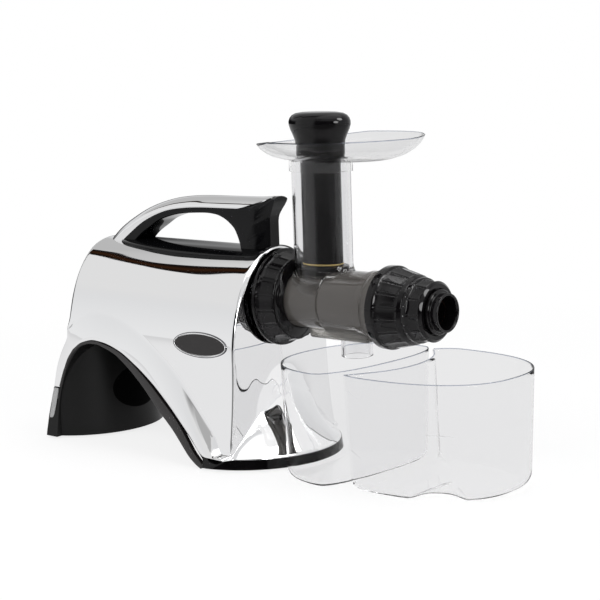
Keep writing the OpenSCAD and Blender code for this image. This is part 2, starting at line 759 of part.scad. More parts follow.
module motor_shaft() color("silver") union() {
    rod_x(motor_shaft_r, fan_x0 - 3, first_x1, 0, motor_h);
    gear_x(pinion_teeth, first_module, 0.8, first_x0, first_x1, motor_h, 180 / pinion_teeth);
}

module cooling_fan() color("#2a2a2a") difference() {
    union() {
        rod_x(8, fan_x0, fan_x1, 0, motor_h);
        tube_x(fan_r, 7, fan_x1 - 2, fan_x1, motor_h);
        for (a = [0 : 40 : 320]) translate([0, 0, motor_h]) rotate([a, 0, 0]) slab(fan_x0, fan_x1 - 1, 7, fan_r - 1, -1, 1);
    }
    rod_x(motor_shaft_r, fan_x0 - 1, fan_x1 + 1, 0, motor_h);
}

// ---- drum and auger ----

drum_back = hub_len + slip_gap;
trough_half = 24;
spout_wall = 2.5;
drum_flange_x = drum_back + 5;
bore_r = drum_rear_r - drum_wall;
screen_r = drum_mid_r - drum_wall - slip_gap;
screen_x0 = drum_step_x + 3;
snout_r = drum_mid_r - 0.5;
snout_end = drum_end_x + 30;
pin_x = drum_end_x + 14;
trough_low = axis_h - drum_mid_r - 2;

module chute_oval(grow) translate([chute_x, 0]) polygon(oval(chute_a + grow, chute_b + grow));

module drum() color("#55555a", 0.75) difference() {
    union() {
        turned([[bore_r, drum_back], [44, drum_back], [44, drum_flange_x], [drum_rear_r, drum_flange_x + 1],
            [drum_rear_r, drum_step_x - 2], [drum_mid_r, drum_step_x], [drum_mid_r, 133], [drum_mid_r + 2, 134],
            [drum_mid_r + 2, drum_end_x - 6], [42.5, drum_end_x - 5], [42.5, drum_end_x], [snout_r, drum_end_x],
            [snout_r, snout_end], [screen_r + slip_gap, snout_end], [screen_r + slip_gap, screen_x0],
            [bore_r, screen_x0]]);
        for (a = [0 : 120 : 240]) on_axis() rotate([0, 0, a]) translate([snout_r - 1, 0, pin_x])
            rotate([0, 90, 0]) cylinder(r = 2, h = 3);
        slab(drum_step_x - 19, drum_end_x - 13, -trough_half, trough_half, trough_low, axis_h - 20);
    }
    slab(drum_step_x - 16, drum_step_x + 1, 3 - trough_half, trough_half - 3, trough_low - 1, axis_h - drum_rear_r - 2);
    rod_x(screen_r + slip_gap, screen_x0, snout_end + 1);
    rod_x(bore_r, drum_back - 1, screen_x0 + 1);
    translate([0, 0, axis_h]) linear_extrude(60) chute_oval(-chute_wall);
    slab(drum_step_x + 6, drum_end_x - 17, -18, 18, trough_low + drum_wall, axis_h - drum_mid_r + 12);
    translate([spout_x, 0, trough_low - 5]) cylinder(r = spout_r - spout_wall, h = 12);
}

gasket_r = 33.7;

module drum_gasket() color("#8a3b2e") tube_x(gasket_r, bore_r, hub_len - 5, drum_back);

module feed_chute() color("#d8dcdf", 0.45) difference() {
    linear_extrude(chute_top) chute_oval(0);
    translate([0, 0, -1]) linear_extrude(chute_top + 2) chute_oval(-chute_wall);
    slab(-reach, reach, -reach, reach, -1, axis_h);
    rod_x(drum_rear_r, 0, drum_step_x);
    rod_x(drum_mid_r, drum_step_x - 2, 133);
}

module juice_spout() color("#d8dcdf", 0.45) translate([spout_x, 0, spout_h]) difference() {
    cylinder(r = spout_r, h = trough_low - spout_h);
    translate([0, 0, -1]) cylinder(r = spout_r - spout_wall, h = trough_low - spout_h + 2);
}

module juicing_screen() color("#9a9da1") difference() {
    tube_x(screen_r, screen_r - 1.6, screen_x0 + slip_gap, snout_end - 1);
    for (x = [screen_x0 + 8 : 9 : drum_end_x - 12]) for (a = [-40, -20, 0, 20, 40])
        translate([x, 0, axis_h]) rotate([a, 0, 0]) slab(0, 5, -1, 1, -reach, 0);
}

auger_x0 = drum_flange_x + 3;
auger_x1 = snout_end - 4;
auger_len = auger_x1 - auger_x0;
front_auger_r = screen_r - 1.6 - 1;

// Screw with two flights that winds deeper at the chute and shallow in the screen
module auger() color("#b98a35") difference() {
    union() {
        turned([[0, auger_x0], [21, auger_x0], [21, screen_x0 - 4], [25.5, screen_x0 + 6], [25.5, auger_x1 - 14], [18, auger_x1], [0, auger_x1]]);
        intersection() {
            on_axis() translate([0, 0, auger_x0 + 2]) linear_extrude(auger_len - 12, twist = -1080, slices = 90, $fn = 8)
                for (a = [0, 180]) rotate(a) translate([14, -2.5]) square([front_auger_r - 14, 5]);
            turned([[0, auger_x0], [auger_r, auger_x0], [auger_r, screen_x0 - 1], [front_auger_r - 0.5, screen_x0 + 3],
                [front_auger_r - 0.5, auger_x1], [0, auger_x1]]);
        }
    }
    rod_x(socket_r, auger_x0 - 1, socket_end);
}

socket_r = 10;
socket_end = hex_end + 4;

module auger_socket() color("#3a3a3e") difference() {
    rod_x(socket_r, auger_x0 - 3, socket_end);
    on_axis() translate([0, 0, auger_x0 - 4]) cylinder(r = hex_r + slip_gap, h = hex_end + 2 - auger_x0 + 4, $fn = 6);
}

// ---- locking ring ----

ring_x0 = 6;
ring_bore = hub_r + 1.5;
ring_web_x = drum_flange_x + 1 + slip_gap;

module locking_ring() color("#101012") union() {
    turned([[ring_bore, ring_x0], [ring_flange_r, ring_x0], [ring_flange_r, ring_x0 + 3], [ring_back_r, ring_x0 + 3],
        [ring_front_r + 0.5, ring_end_x - 1.5], [ring_front_r - 0.5, ring_end_x], [ring_front_r - 3, ring_end_x],
        [drum_rear_r + 1, ring_web_x + 3], [drum_rear_r + 1, ring_web_x], [ring_bore, ring_web_x]]);
    for (i = [0 : ring_ribs - 1]) on_axis() rotate([0, 0, 360 * i / ring_ribs]) rotate([90, 0, 0])
        translate([0, 0, -1.2]) linear_extrude(2.4) polygon([[ring_back_r - 1, ring_x0 + 3], [ring_back_r + 1.6, ring_x0 + 3],
            [ring_front_r + 1.8, ring_end_x - 3], [ring_front_r - 1, ring_end_x - 3]]);
}

// ---- end cap, dial and nozzle ----

cap_x0 = drum_end_x + slip_gap;
cap_flange_x = cap_x0 + 10;
cap_x1 = cap_x0 + cap_len;
dial_x0 = cap_x1 + slip_gap;
dial_x1 = dial_x0 + dial_len;
neck_r = 25;
neck_bore = 20;
mouth_x = dial_x1 + nozzle_out;
front_wall_x = snout_end + 2;

module end_cap() color("#101012") difference() {
    union() {
        turned([[0, cap_x0], [cap_flange_r, cap_x0], [cap_flange_r, cap_flange_x - 1], [cap_back_r, cap_flange_x],
            [cap_front_r + 1, cap_x1 - 3], [cap_front_r - 1.5, cap_x1], [neck_r, cap_x1], [neck_r, dial_x1 - 2], [0, dial_x1 - 2]]);
        for (i = [0 : cap_ribs - 1]) on_axis() rotate([0, 0, 360 * i / cap_ribs]) rotate([90, 0, 0])
            translate([0, 0, -1.2]) linear_extrude(2.4) polygon([[cap_front_r - 3, cap_flange_x], [cap_back_r + 0.8, cap_flange_x],
                [cap_front_r + 2, cap_x1 - 4], [cap_front_r - 3, cap_x1 - 4]]);
    }
    rod_x(snout_r + 0.5, cap_x0 - 1, front_wall_x);
    rod_x(snout_r + 2.8, pin_x - 2.6, pin_x + 2.6);
    for (a = [30 : 120 : 270]) on_axis() rotate([0, 0, a]) translate([0, -2.6, cap_x0 - 1]) cube([snout_r + 2.8, 5.2, pin_x - cap_x0]);
    rod_x(neck_bore, front_wall_x - 1, dial_x1);
}

module cap_gasket() color("#8a3b2e") tube_x(snout_r - 0.3, screen_r + 0.6, snout_end + slip_gap, front_wall_x);

module adjusting_dial() color("#101012") difference() {
    union() {
        turned([[neck_r + 0.3, dial_x0], [dial_r, dial_x0], [dial_r + 0.6, dial_x0 + 2], [dial_r - 1.5, dial_x1 - 3], [dial_r - 3.5, dial_x1],
            [neck_r + 0.3, dial_x1]]);
        for (i = [0 : 23]) on_axis() rotate([0, 0, 15 * i]) translate([dial_r - 1.2, 0, dial_x0 + 2]) cylinder(r = 1.1, h = dial_len - 6, $fn = 24);
    }
}

nozzle_travel = 4;

module pulp_nozzle() color("#101012") turned([[nozzle_bore_r, dial_x0 + 2], [neck_bore - slip_gap, dial_x0 + 2], [neck_bore - slip_gap, dial_x1],
    [neck_r - 0.5, dial_x1], [neck_r - 1, dial_x1 + 4], [nozzle_r, dial_x1 + 7], [nozzle_r, mouth_x - 1], [nozzle_r - 1, mouth_x], [nozzle_bore_r, mouth_x]]);

module nozzle_gasket() color("#8a3b2e") tube_x(neck_bore - slip_gap, nozzle_bore_r, dial_x0 - 1, dial_x0 + 2);

// ---- tray and pusher ----

tray_floor = chute_top + slip_gap;
socket_high = 12;
egg_offset = 39;                // widest line of the tray, in front of the chute

// Egg outline round the chute, narrower towards the nozzle
function egg(front, back, half) = [for (i = [0 : 63]) let (t = 360 * i / 64, c = cos(t))
    [chute_x + egg_offset + (c > 0 ? (front - egg_offset) * c : (back + egg_offset) * c), half * sgn_pow(sin(t), c > 0 ? 1.35 : 1.12)]];

module egg_slab(front, back, half, z) translate([0, 0, z]) linear_extrude(0.4) polygon(egg(front, back, half));

// Pan with a rim that falls towards its narrow end
module pan_form(inset) difference() {
    hull() {
        egg_slab(tray_front - 52 - inset, tray_back - 26 - inset, tray_half - 70 - inset, tray_floor + inset);
        egg_slab(tray_front - 28 - inset, tray_back - 16 - inset, tray_half - 44 - inset, tray_floor + inset + 3.5);
        egg_slab(tray_front - 9 - inset, tray_back - 6 - inset, tray_half - 17 - inset, tray_floor + inset + 12);
        egg_slab(tray_front - inset, tray_back - inset, tray_half - inset, tray_floor + tray_deep + 3);
    }
    along_y(-reach / 2, reach / 2) polygon([[chute_x - tray_back - 5, tray_floor + tray_deep - tray_drop], [chute_x, tray_floor + tray_deep],
        [chute_x + tray_front + 5, tray_floor + tray_deep], [chute_x + tray_front + 5, tray_floor + tray_deep + 20], [chute_x - tray_back - 5, tray_floor + tray_deep + 20]]);
}

module tray() color("#e4e8ea", 0.4) difference() {
    union() {
        pan_form(0);
        translate([0, 0, chute_top - socket_high]) linear_extrude(socket_high + 1) chute_oval(2.4);
    }
    difference() {
        pan_form(tray_wall);
        slab(-reach, reach, -reach, reach, 0, tray_floor + tray_wall);
    }
    slab(-reach, reach, -reach, reach, tray_floor + tray_deep + 1, reach);
    translate([0, 0, chute_top - socket_high - 1]) linear_extrude(socket_high + 1 + slip_gap) chute_oval(slip_gap);
    translate([0, 0, chute_top - 1]) linear_extrude(30) chute_oval(-chute_wall);
}

knob_top = chute_top + knob_out;
stem_low = axis_h + auger_r + 7;
foot_a = chute_a - chute_wall - slip_gap;
foot_b = chute_b - chute_wall - slip_gap;

module oval_slab(a, b, z, h) translate([chute_x, 0, z]) linear_extrude(h) polygon(oval(a, b, 48));

module pusher() color("#0c0c0e") union() {
    oval_slab(foot_a, foot_b, stem_low, 5);
    oval_slab(stem_a, stem_b, stem_low + 5 - eps, chute_top - stem_low + 4);
    hull() {
        oval_slab(stem_a + 5.5, stem_b + 3.5, chute_top + 5, 1);
        oval_slab(stem_a + 6, stem_b + 4, knob_top - 34, 1);
        oval_slab(knob_a - 0.6, knob_b - 0.6, knob_top - 16, 1);
    }
    hull() {
        oval_slab(knob_a - 0.6, knob_b - 0.6, knob_top - 16, 1);
        oval_slab(knob_a, knob_b, knob_top - 12, 1);
        oval_slab(knob_a - 2.5, knob_b - 2.5, knob_top - 5, 0.5);
        oval_slab(knob_a - 9, knob_b - 9, knob_top - 0.5, 0.5);
    }
}

module pusher_seal() color("#b39a4a") translate([0, 0, stem_low + 5]) linear_extrude(2.2) difference() {
    translate([chute_x, 0]) polygon(oval(foot_a, foot_b));
    translate([chute_x, 0]) polygon(oval(stem_a, stem_b, 48));
}

// ---- bins ----

juice_x = 123.5;
juice_front = 31;
juice_back = 87;
juice_turn = -5;
foot_gap = 2;
pulp_x = 186;
pulp_y = 8;
pulp_back = 52;
pulp_round = 111;               // radius of the pulp bin's hollow rear side
pulp_round_x = 75;
grip_x = 275;                   // finger recess in the pulp bin's near side
grip_r = 60;
grip_h = 72;

module juice_outline(inset) rotate(juice_turn) polygon(lens(juice_front - inset, juice_back - inset, juice_half - inset, 2.3));

// Solid of the juice bin, hollowed at the back where it stands round the front foot
module juice_form(inset) difference() {
    translate([juice_x, 0, 0]) hull() {
        translate([0, 0, inset]) linear_extrude(0.5) juice_outline(inset + bin_draft + 6);
        translate([0, 0, inset + 9]) linear_extrude(0.5) juice_outline(inset + bin_draft);
        translate([0, 0, bin_h - 0.5 + inset]) linear_extrude(0.5) juice_outline(inset);
    }
    translate([front_foot_x, 0, -1]) cylinder(r1 = front_foot_r + foot_gap + inset, r2 = front_foot_r - 26 + inset, h = bin_h + 3 + inset);
}

module juice_bin() color("#eef2f4", 0.3) difference() {
    juice_form(0);
    juice_form(bin_wall);
}

module pulp_outline(inset) polygon(lens(pulp_nose - inset, pulp_back - inset, pulp_half - inset, 2.4));

module pulp_form(inset) difference() {
    translate([pulp_x, pulp_y, 0]) hull() {
        translate([0, 0, inset]) linear_extrude(0.5) pulp_outline(inset + bin_draft + 7);
        translate([0, 0, inset + 12]) linear_extrude(0.5) pulp_outline(inset + bin_draft);
        translate([0, 0, bin_h - 0.5 + inset]) linear_extrude(0.5) pulp_outline(inset);
    }
    translate([pulp_round_x, 2, -1]) cylinder(r1 = pulp_round + bin_draft + inset, r2 = pulp_round + inset, h = bin_h + 3 + inset);
    translate([grip_x, pulp_y - pulp_half - 41, -1]) cylinder(r = grip_r + inset, h = grip_h + inset);
}

module pulp_bin() color("#eef2f4", 0.3) difference() {
    pulp_form(0);
    pulp_form(bin_wall);
}

housing_shell();
tunnel_liner();
front_foot();
rear_foot();
rubber_pads();
foot_screws();
handle_body();
handle_cap();
handle_screws();
badge_plates();
badge_rims();
rear_vent();
switch_frame();
switch_rocker();
cord_gland();
control_board();
run_capacitor();
hub_collar();
hub_seal();
gearbox_case();
gearbox_cover();
gearbox_screws();
front_bearing();
shaft_bush();
mid_axle();
motor_stack();
motor_coils();
motor_brackets();
motor_bushes();
tie_bolts();
motor_cradle();
motor_rotor();
motor_shaft();
cooling_fan();
mid_gear();
output_gear();
drive_shaft();
drum();
drum_gasket();
feed_chute();
juice_spout();
juicing_screen();
auger();
auger_socket();
locking_ring();
end_cap();
cap_gasket();
adjusting_dial();
pulp_nozzle();
nozzle_gasket();
tray();
pusher();
pusher_seal();
juice_bin();
pulp_bin();
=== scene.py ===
# Horizontal cold press juicer: the dressed model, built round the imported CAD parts.
import bpy
import math
from mathutils import Matrix, Vector


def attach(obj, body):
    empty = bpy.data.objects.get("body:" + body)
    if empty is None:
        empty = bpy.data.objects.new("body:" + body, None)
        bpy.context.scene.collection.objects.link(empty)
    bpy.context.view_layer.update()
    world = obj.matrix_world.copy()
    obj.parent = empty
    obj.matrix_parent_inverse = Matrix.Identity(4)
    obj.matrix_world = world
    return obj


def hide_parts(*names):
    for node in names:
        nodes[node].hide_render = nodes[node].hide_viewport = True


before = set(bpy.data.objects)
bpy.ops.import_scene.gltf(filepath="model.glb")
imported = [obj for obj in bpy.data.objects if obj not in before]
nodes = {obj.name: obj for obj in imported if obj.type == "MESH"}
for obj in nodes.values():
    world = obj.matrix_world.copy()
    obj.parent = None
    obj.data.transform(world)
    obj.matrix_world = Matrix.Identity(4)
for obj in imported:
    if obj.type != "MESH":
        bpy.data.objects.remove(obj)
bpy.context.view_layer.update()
mm = 0.001
quarter = math.pi / 2
axisHeight = 185  # height of the drive axis, in mm like every size in the dictionaries

studio = {
    "cameraAzimuth": 40.2, "cameraElevation": 9.3, "cameraRoll": 1.85,
    "cameraTarget": (30.1, 0.0, 182.6), "cameraDistance": 1909.5, "focalPixels": 1700, "framePixels": 600,
    "sensorWidth": 36, "sight": 20,
    # name, place, where it aims, size, power
    "lamps": [("keyLamp", (-0.6, -1.6, 1.9), (0.05, 0, 0.15), (1.6, 1.0), 26),
              ("topLamp", (0.3, 0.5, 2.2), (0.05, 0, 0.1), (1.8, 1.6), 24),
              ("sideLamp", (2.0, -0.2, 1.2), (0.05, 0, 0.15), (1.0, 1.2), 10)],
    # the floor as it is lit, as it glows to the camera near and far, and as it is mirrored
    "floorSize": 9.0, "floorDrop": 0.0002, "floorWhite": 0.93, "floorGlow": 0.80, "glowEdge": (0.45, 1.1),
    "floorMirror": (0.80, 0.80, 0.805), "mirrorShare": 0.8,
    "ambient": 0.42, "ambientColour": (0.98, 0.985, 1.0),
    "wallLow": (0.86, 0.865, 0.87), "wallHigh": (0.74, 0.745, 0.755), "wallRise": (0.0, 0.5),
    # dark room behind the camera: direction and how close to it, how high, where the table ends
    "darkSide": (0.423, -0.906), "darkEdge": (0.74, 0.84), "darkTop": (0.40, 0.52), "tableEdge": (0.45, 0.75),
    # dark screen behind the left end: direction and how close to it
    "screenSide": (-0.974, 0.225), "screenEdge": (0.80, 0.85), "screenTop": (0.12, 0.30),
    # bright strips that gleam on the black plastic: direction, how close to it, power
    "strips": [((-0.10, -0.78, 0.62), 0.984, 0.990, 0.45), ((0.72, 0.10, 0.69), 0.970, 0.982, 12.0),
               ((0.87, -0.42, 0.26), 0.976, 0.984, 11.0)],
    "roomColour": (0.015, 0.015, 0.017),
    "softbox": (1.5, 1.5, 1.5), "softboxStart": (0.78, 0.84), "softboxFront": (-0.35, -0.2),
    # dark curtain beside the overhead softbox: place along it, its centre and its half width
    "curtain": [(-1.06, 0.05, 0.08), (-1.0, 0.155, 0.075), (-0.95, 0.315, 0.09), (-0.905, 0.372, 0.125),
                (-0.87, 0.32, 0.125), (-0.84, 0.24, 0.11)],
    "curtainSpan": (-1.1, -0.8), "curtainTurn": 0.3, "curtainEdge": (0.94, 1.06), "curtainFade": 0.9,
    "curtainShades": [(0.0, (0.035, 0.014, 0.006)), (0.45, (0.012, 0.006, 0.004)),
                      (0.80, (0.006, 0.006, 0.007))],
    "overhead": [(0.0, 0.52), (0.5, 0.60), (0.80, 0.74)], "overheadStart": 1.1, "overheadRise": 3.0,
    "beside": 0.80, "besideEdge": (-0.2, 0.2), "ceilingStart": (0.30, 0.42), "ceilingFront": (-0.1, 0.25),
    "lowest": 0.02, "tiny": 0.0001,
}


def makeCamera():
    s = studio
    a, e, r = (math.radians(s[key]) for key in ("cameraAzimuth", "cameraElevation", "cameraRoll"))
    back = Vector((math.sin(a) * math.cos(e), -math.cos(a) * math.cos(e), math.sin(e)))
    right = Vector((math.cos(a), math.sin(a), 0))
    up = back.cross(right)
    turnedRight = right * math.cos(r) - up * math.sin(r)
    turnedUp = right * math.sin(r) + up * math.cos(r)
    place = (Vector(s["cameraTarget"]) + back * s["cameraDistance"]) * mm
    bpy.ops.object.camera_add(location=place)
    camera = bpy.context.object
    camera.name = "studioCamera"
    columns = (turnedRight, turnedUp, back, place)
    camera.matrix_world = Matrix([[v[k] for v in columns] for k in range(3)] + [[0, 0, 0, 1]])
    camera.data.sensor_width = s["sensorWidth"]
    camera.data.lens = camera.data.sensor_width * s["focalPixels"] / s["framePixels"]
    camera.data.clip_end = s["sight"]
    bpy.context.scene.camera = camera


class TreeTools:
    # short ways to write the studio's node trees
    def __init__(self, tree):
        tree.nodes.clear()
        self.add = tree.nodes.new
        self.link = tree.links.new

    def axes(self, output):
        coords = self.add("ShaderNodeTexCoord")
        split = self.add("ShaderNodeSeparateXYZ")
        self.link(coords.outputs[output], split.inputs[0])
        return split.outputs

    def set(self, socket, value):
        if isinstance(value, (int, float)):
            socket.default_value = value
        elif isinstance(value, tuple):
            socket.default_value = value + (1,)
        elif value is not None:
            self.link(value, socket)

    def maths(self, kind, one, two=None, clamp=False):
        node = self.add("ShaderNodeMath")
        node.operation = kind
        node.use_clamp = clamp
        self.set(node.inputs[0], one)
        self.set(node.inputs[1], two)
        return node.outputs[0]

    def product(self, one, two, clamp=False):
        return self.maths("MULTIPLY", one, two, clamp)

    def step(self, value, low, high):
        # 0 below low, 1 above high, straight between them
        return self.product(self.maths("SUBTRACT", value, low), 1 / (high - low), True)

    def below(self, value, low, high):
        return self.maths("SUBTRACT", 1, self.step(value, low, high))

    def weighted(self, values, factors):
        total = self.product(values[0], factors[0])
        for value, factor in zip(values[1:], factors[1:]):
            total = self.maths("ADD", total, self.product(value, factor))
        return total

    def flatLength(self, x, y):
        return self.maths("MAXIMUM", self.maths("SQRT", self.weighted((x, y), (x, y))), studio["tiny"])

    def blend(self, share, one, two):
        node = self.add("ShaderNodeMix")
        node.data_type = "RGBA"
        for i, value in ((0, share), (6, one), (7, two)):
            self.set(node.inputs[i], value)
        return node.outputs[2]

    def ramp(self, value, stops, smoothing="LINEAR"):
        node = self.add("ShaderNodeValToRGB")
        node.color_ramp.interpolation = smoothing
        while len(node.color_ramp.elements) < len(stops):
            node.color_ramp.elements.new(0.5)
        for element, (place, shade) in zip(node.color_ramp.elements, stops):
            element.position = place
            element.color = (shade if isinstance(shade, tuple) else (shade,) * 3) + (1,)
        self.link(value, node.inputs[0])
        return node.outputs[0]

    def shader(self, kind, *values):
        node = self.add(kind)
        for i, value in enumerate(values):
            self.set(node.inputs[i], value)
        return node.outputs[0]

    def seen(self, rays):
        # 1 where the camera looks straight or through clear plastic
        return self.maths("MAXIMUM", rays.outputs["Is Camera Ray"], rays.outputs["Is Transmission Ray"])


def makeWorld():
    # white to the camera; shiny surfaces see pale walls, a dark room behind the camera,
    # a bright softbox overhead and a narrow dark gap beside it
    world = bpy.data.worlds.new("studioWorld")
    bpy.context.scene.world = world
    world.use_nodes = True
    t = TreeTools(world.node_tree)
    s = studio
    x, y, z = t.axes("Generated")
    flat = t.flatLength(x, y)
    height = t.maths("MAXIMUM", z, s["lowest"])
    across = t.maths("DIVIDE", t.product(y, -1), height)
    along = t.maths("ADD", t.maths("DIVIDE", x, height), t.product(across, s["curtainTurn"]))

    low, high = s["curtainSpan"]
    place = t.step(along, low, high)
    shares = [(p[0] - low) / (high - low) for p in s["curtain"]]
    middle = t.ramp(place, [(u, p[1]) for u, p in zip(shares, s["curtain"])], "CARDINAL")
    width = t.ramp(place, [(u, p[2]) for u, p in zip(shares, s["curtain"])], "CARDINAL")
    off = t.maths("DIVIDE", t.maths("SUBTRACT", across, middle), width)
    reach = t.maths("ABSOLUTE", off)
    curtain = t.ramp(t.product(reach, s["curtainFade"], True), s["curtainShades"])
    ahead = t.product(t.maths("ADD", along, s["overheadStart"]), s["overheadRise"], True)
    beyond = t.blend(t.step(off, *s["besideEdge"]), t.ramp(ahead, s["overhead"]), (s["beside"],) * 3)
    gap = t.blend(t.step(reach, *s["curtainEdge"]), curtain, beyond)
    wall = t.blend(t.step(z, *s["wallRise"]), s["wallLow"], s["wallHigh"])
    lit = t.blend(t.product(t.step(z, *s["ceilingStart"]), t.below(x, *s["ceilingFront"])), wall, gap)

    def darken(lit, side, edge, top):
        towards = t.maths("DIVIDE", t.weighted((x, y), side), flat)
        return t.blend(t.product(t.step(towards, *edge), t.below(z, *top)), lit, s["roomColour"])
    lit = darken(lit, s["darkSide"], s["darkEdge"], s["darkTop"])
    overhead = t.product(t.step(z, *s["softboxStart"]), t.step(x, *s["softboxFront"]))
    lit = t.blend(overhead, lit, s["softbox"])
    lit = darken(lit, s["screenSide"], s["screenEdge"], s["screenTop"])
    for direction, outer, inner, power in s["strips"]:
        lit = t.blend(t.step(t.weighted((x, y, z), direction), outer, inner), lit, (power,) * 3)

    rays = t.add("ShaderNodeLightPath")
    soft = t.shader("ShaderNodeBackground", s["ambientColour"], s["ambient"])
    shiny = t.shader("ShaderNodeBackground", lit)
    white = t.shader("ShaderNodeBackground", (1, 1, 1))
    first = t.shader("ShaderNodeMixShader", rays.outputs["Is Glossy Ray"], soft, shiny)
    second = t.shader("ShaderNodeMixShader", t.seen(rays), first, white)
    t.link(second, t.add("ShaderNodeOutputWorld").inputs[0])


def makeFloor():
    # matte white with soft shadows; plain white to the camera far away, and pale or dark in reflections
    bpy.ops.mesh.primitive_plane_add(size=studio["floorSize"], location=(0, 0, -studio["floorDrop"]))
    floor = bpy.context.object
    floor.name = "studioFloor"
    mat = bpy.data.materials.new("floorWhite")
    mat.use_nodes = True
    t = TreeTools(mat.node_tree)
    s = studio
    x, y, _ = t.axes("Object")
    far = t.flatLength(x, y)
    along = t.weighted((x, y), s["darkSide"])
    dark = t.product(t.step(t.maths("DIVIDE", along, far), *s["darkEdge"]), t.step(along, *s["tableEdge"]))
    whiter = t.maths("ADD", t.product(t.step(far, *s["glowEdge"]), 1 - s["floorGlow"]), s["floorGlow"])
    rays = t.add("ShaderNodeLightPath")
    matte = t.shader("ShaderNodeBsdfDiffuse", (s["floorWhite"],) * 3)
    glow = t.shader("ShaderNodeEmission", (1, 1, 1))
    mirror = t.shader("ShaderNodeEmission", t.blend(dark, s["floorMirror"], s["roomColour"]))
    first = t.shader("ShaderNodeMixShader", t.product(t.seen(rays), whiter), matte, glow)
    reflected = t.product(rays.outputs["Is Glossy Ray"], s["mirrorShare"])
    second = t.shader("ShaderNodeMixShader", reflected, first, mirror)
    t.link(second, t.add("ShaderNodeOutputMaterial").inputs[0])
    floor.data.materials.append(mat)


def makeLamp(name, place, aim, size, power):
    bpy.ops.object.light_add(type="AREA", location=place)
    lamp = bpy.context.object
    lamp.name = name
    lamp.data.shape = "RECTANGLE"
    lamp.data.size, lamp.data.size_y = size
    lamp.data.energy = power
    lamp.rotation_euler = (Vector(place) - Vector(aim)).to_track_quat("Z", "Y").to_euler()
    lamp.visible_glossy = False


makeCamera()
makeWorld()
makeFloor()
for lampSettings in studio["lamps"]:
    makeLamp(*lampSettings)
bpy.context.scene.view_settings.view_transform = "Standard"
print("studio ready")

finishes = {}
grainStops = (0.3, 0.7)
bumpDepth = 0.0004


def newFinish(name, colour, rough, cad=(), metal=0.0, grain=0.0, grainScale=400, roughVary=0.03,
              roughScale=25, bump=0.0, glass=0.0, ior=1.49, coat=0.0, gloss=0.5):
    # cad lists the solids that show this finish where no dressed piece replaces them
    mat = bpy.data.materials.new(name)
    mat.use_nodes = True
    tree = mat.node_tree
    add, link = tree.nodes.new, tree.links.new
    shader = tree.nodes["Principled BSDF"]
    coords = add("ShaderNodeTexCoord")

    def noise(scale, detail):
        node = add("ShaderNodeTexNoise")
        node.inputs["Scale"].default_value = scale
        node.inputs["Detail"].default_value = detail
        link(coords.outputs["Object"], node.inputs["Vector"])
        return node.outputs["Fac"]

    shader.inputs["Base Color"].default_value = tuple(colour) + (1,)
    if grain:
        ramp = add("ShaderNodeValToRGB")
        for element, place, shade in zip(ramp.color_ramp.elements, grainStops, (1 - grain, 1 + grain)):
            element.position = place
            element.color = tuple(min(1, c * shade) for c in colour) + (1,)
        link(noise(grainScale, 4), ramp.inputs[0])
        link(ramp.outputs[0], shader.inputs["Base Color"])
    spread = add("ShaderNodeMapRange")
    spread.inputs["To Min"].default_value = max(0.0, rough - roughVary)
    spread.inputs["To Max"].default_value = rough + roughVary
    link(noise(roughScale, 3), spread.inputs["Value"])
    link(spread.outputs[0], shader.inputs["Roughness"])
    if bump:
        raised = add("ShaderNodeBump")
        raised.inputs["Strength"].default_value = bump
        raised.inputs["Distance"].default_value = bumpDepth
        link(noise(grainScale, 2), raised.inputs["Height"])
        link(raised.outputs[0], shader.inputs["Normal"])
    for socket, value in (("Metallic", metal), ("IOR", ior), ("Transmission Weight", glass),
                          ("Coat Weight", coat), ("Specular IOR Level", gloss)):
        shader.inputs[socket].default_value = value
    finishes[name] = mat
    for node in cad:
        nodes[node].data.materials.clear()
        nodes[node].data.materials.append(mat)


def newClear(name, colour, ior, rough=0.02, clear=1.0, cad=()):
    # see-through plastic; the wall's own thickness bends light a little less than solid glass
    newFinish(name, colour, rough, cad, roughVary=0.01, roughScale=14, glass=clear, ior=ior)


newFinish("chromeMirror", (0.905, 0.905, 0.908), 0.02, ["housing_shell", "handle_cap", "badge_rims"],
          metal=1.0, roughVary=0.012, roughScale=9)
newFinish("blackGloss", (0.004, 0.0035, 0.004), 0.05,
          ["front_foot", "handle_body", "switch_rocker", "locking_ring", "end_cap", "adjusting_dial",
           "pulp_nozzle", "pusher"],
          grain=0.1, grainScale=60, roughVary=0.02, ior=1.45, gloss=0.30)
newFinish("handleGloss", (0.003, 0.003, 0.0035), 0.05,
          grain=0.1, grainScale=60, roughVary=0.02, ior=1.45, gloss=0.22)
newFinish("blackSatin", (0.005, 0.005, 0.005), 0.30,
          ["tunnel_liner", "rear_foot", "rear_vent", "switch_frame", "cooling_fan", "auger_socket"],
          grain=0.15, grainScale=900, bump=0.15, gloss=0.20)
newFinish("trimSatin", (0.016, 0.014, 0.014), 0.32, grain=0.12, grainScale=900, bump=0.15, gloss=0.45)
# near-black matte finish for the rear foot's dark oval: painted shade and dark reflection
newFinish("paintedShadeBlack", (0.0008, 0.0008, 0.0008), 0.6, grain=0.1, grainScale=900, gloss=0.02)
newFinish("badgeFace", (0.028, 0.026, 0.026), 0.3, ["badge_plates"],
          grain=0.12, grainScale=1500, bump=0.05, gloss=0.25)
# grey for the sheets on the rear leg: a painted reflection of the pale room on the black foot
newFinish("paintedReflectionGrey", (0.36, 0.36, 0.36), 0.35, grain=0.06, grainScale=600, bump=0.05)
newFinish("markPaint", (0.22, 0.22, 0.22), 0.4)
newFinish("padRubber", (0.03, 0.03, 0.03), 0.8, ["rubber_pads", "cord_gland", "motor_cradle"],
          grain=0.2, grainScale=700, bump=0.4)
newFinish("sealSilicone", (0.45, 0.16, 0.10), 0.45,
          ["hub_seal", "drum_gasket", "cap_gasket", "nozzle_gasket"], grain=0.1, grainScale=500, bump=0.1)
newFinish("amberSilicone", (0.50, 0.36, 0.12), 0.4, ["pusher_seal"], grain=0.1, grainScale=500, bump=0.1)
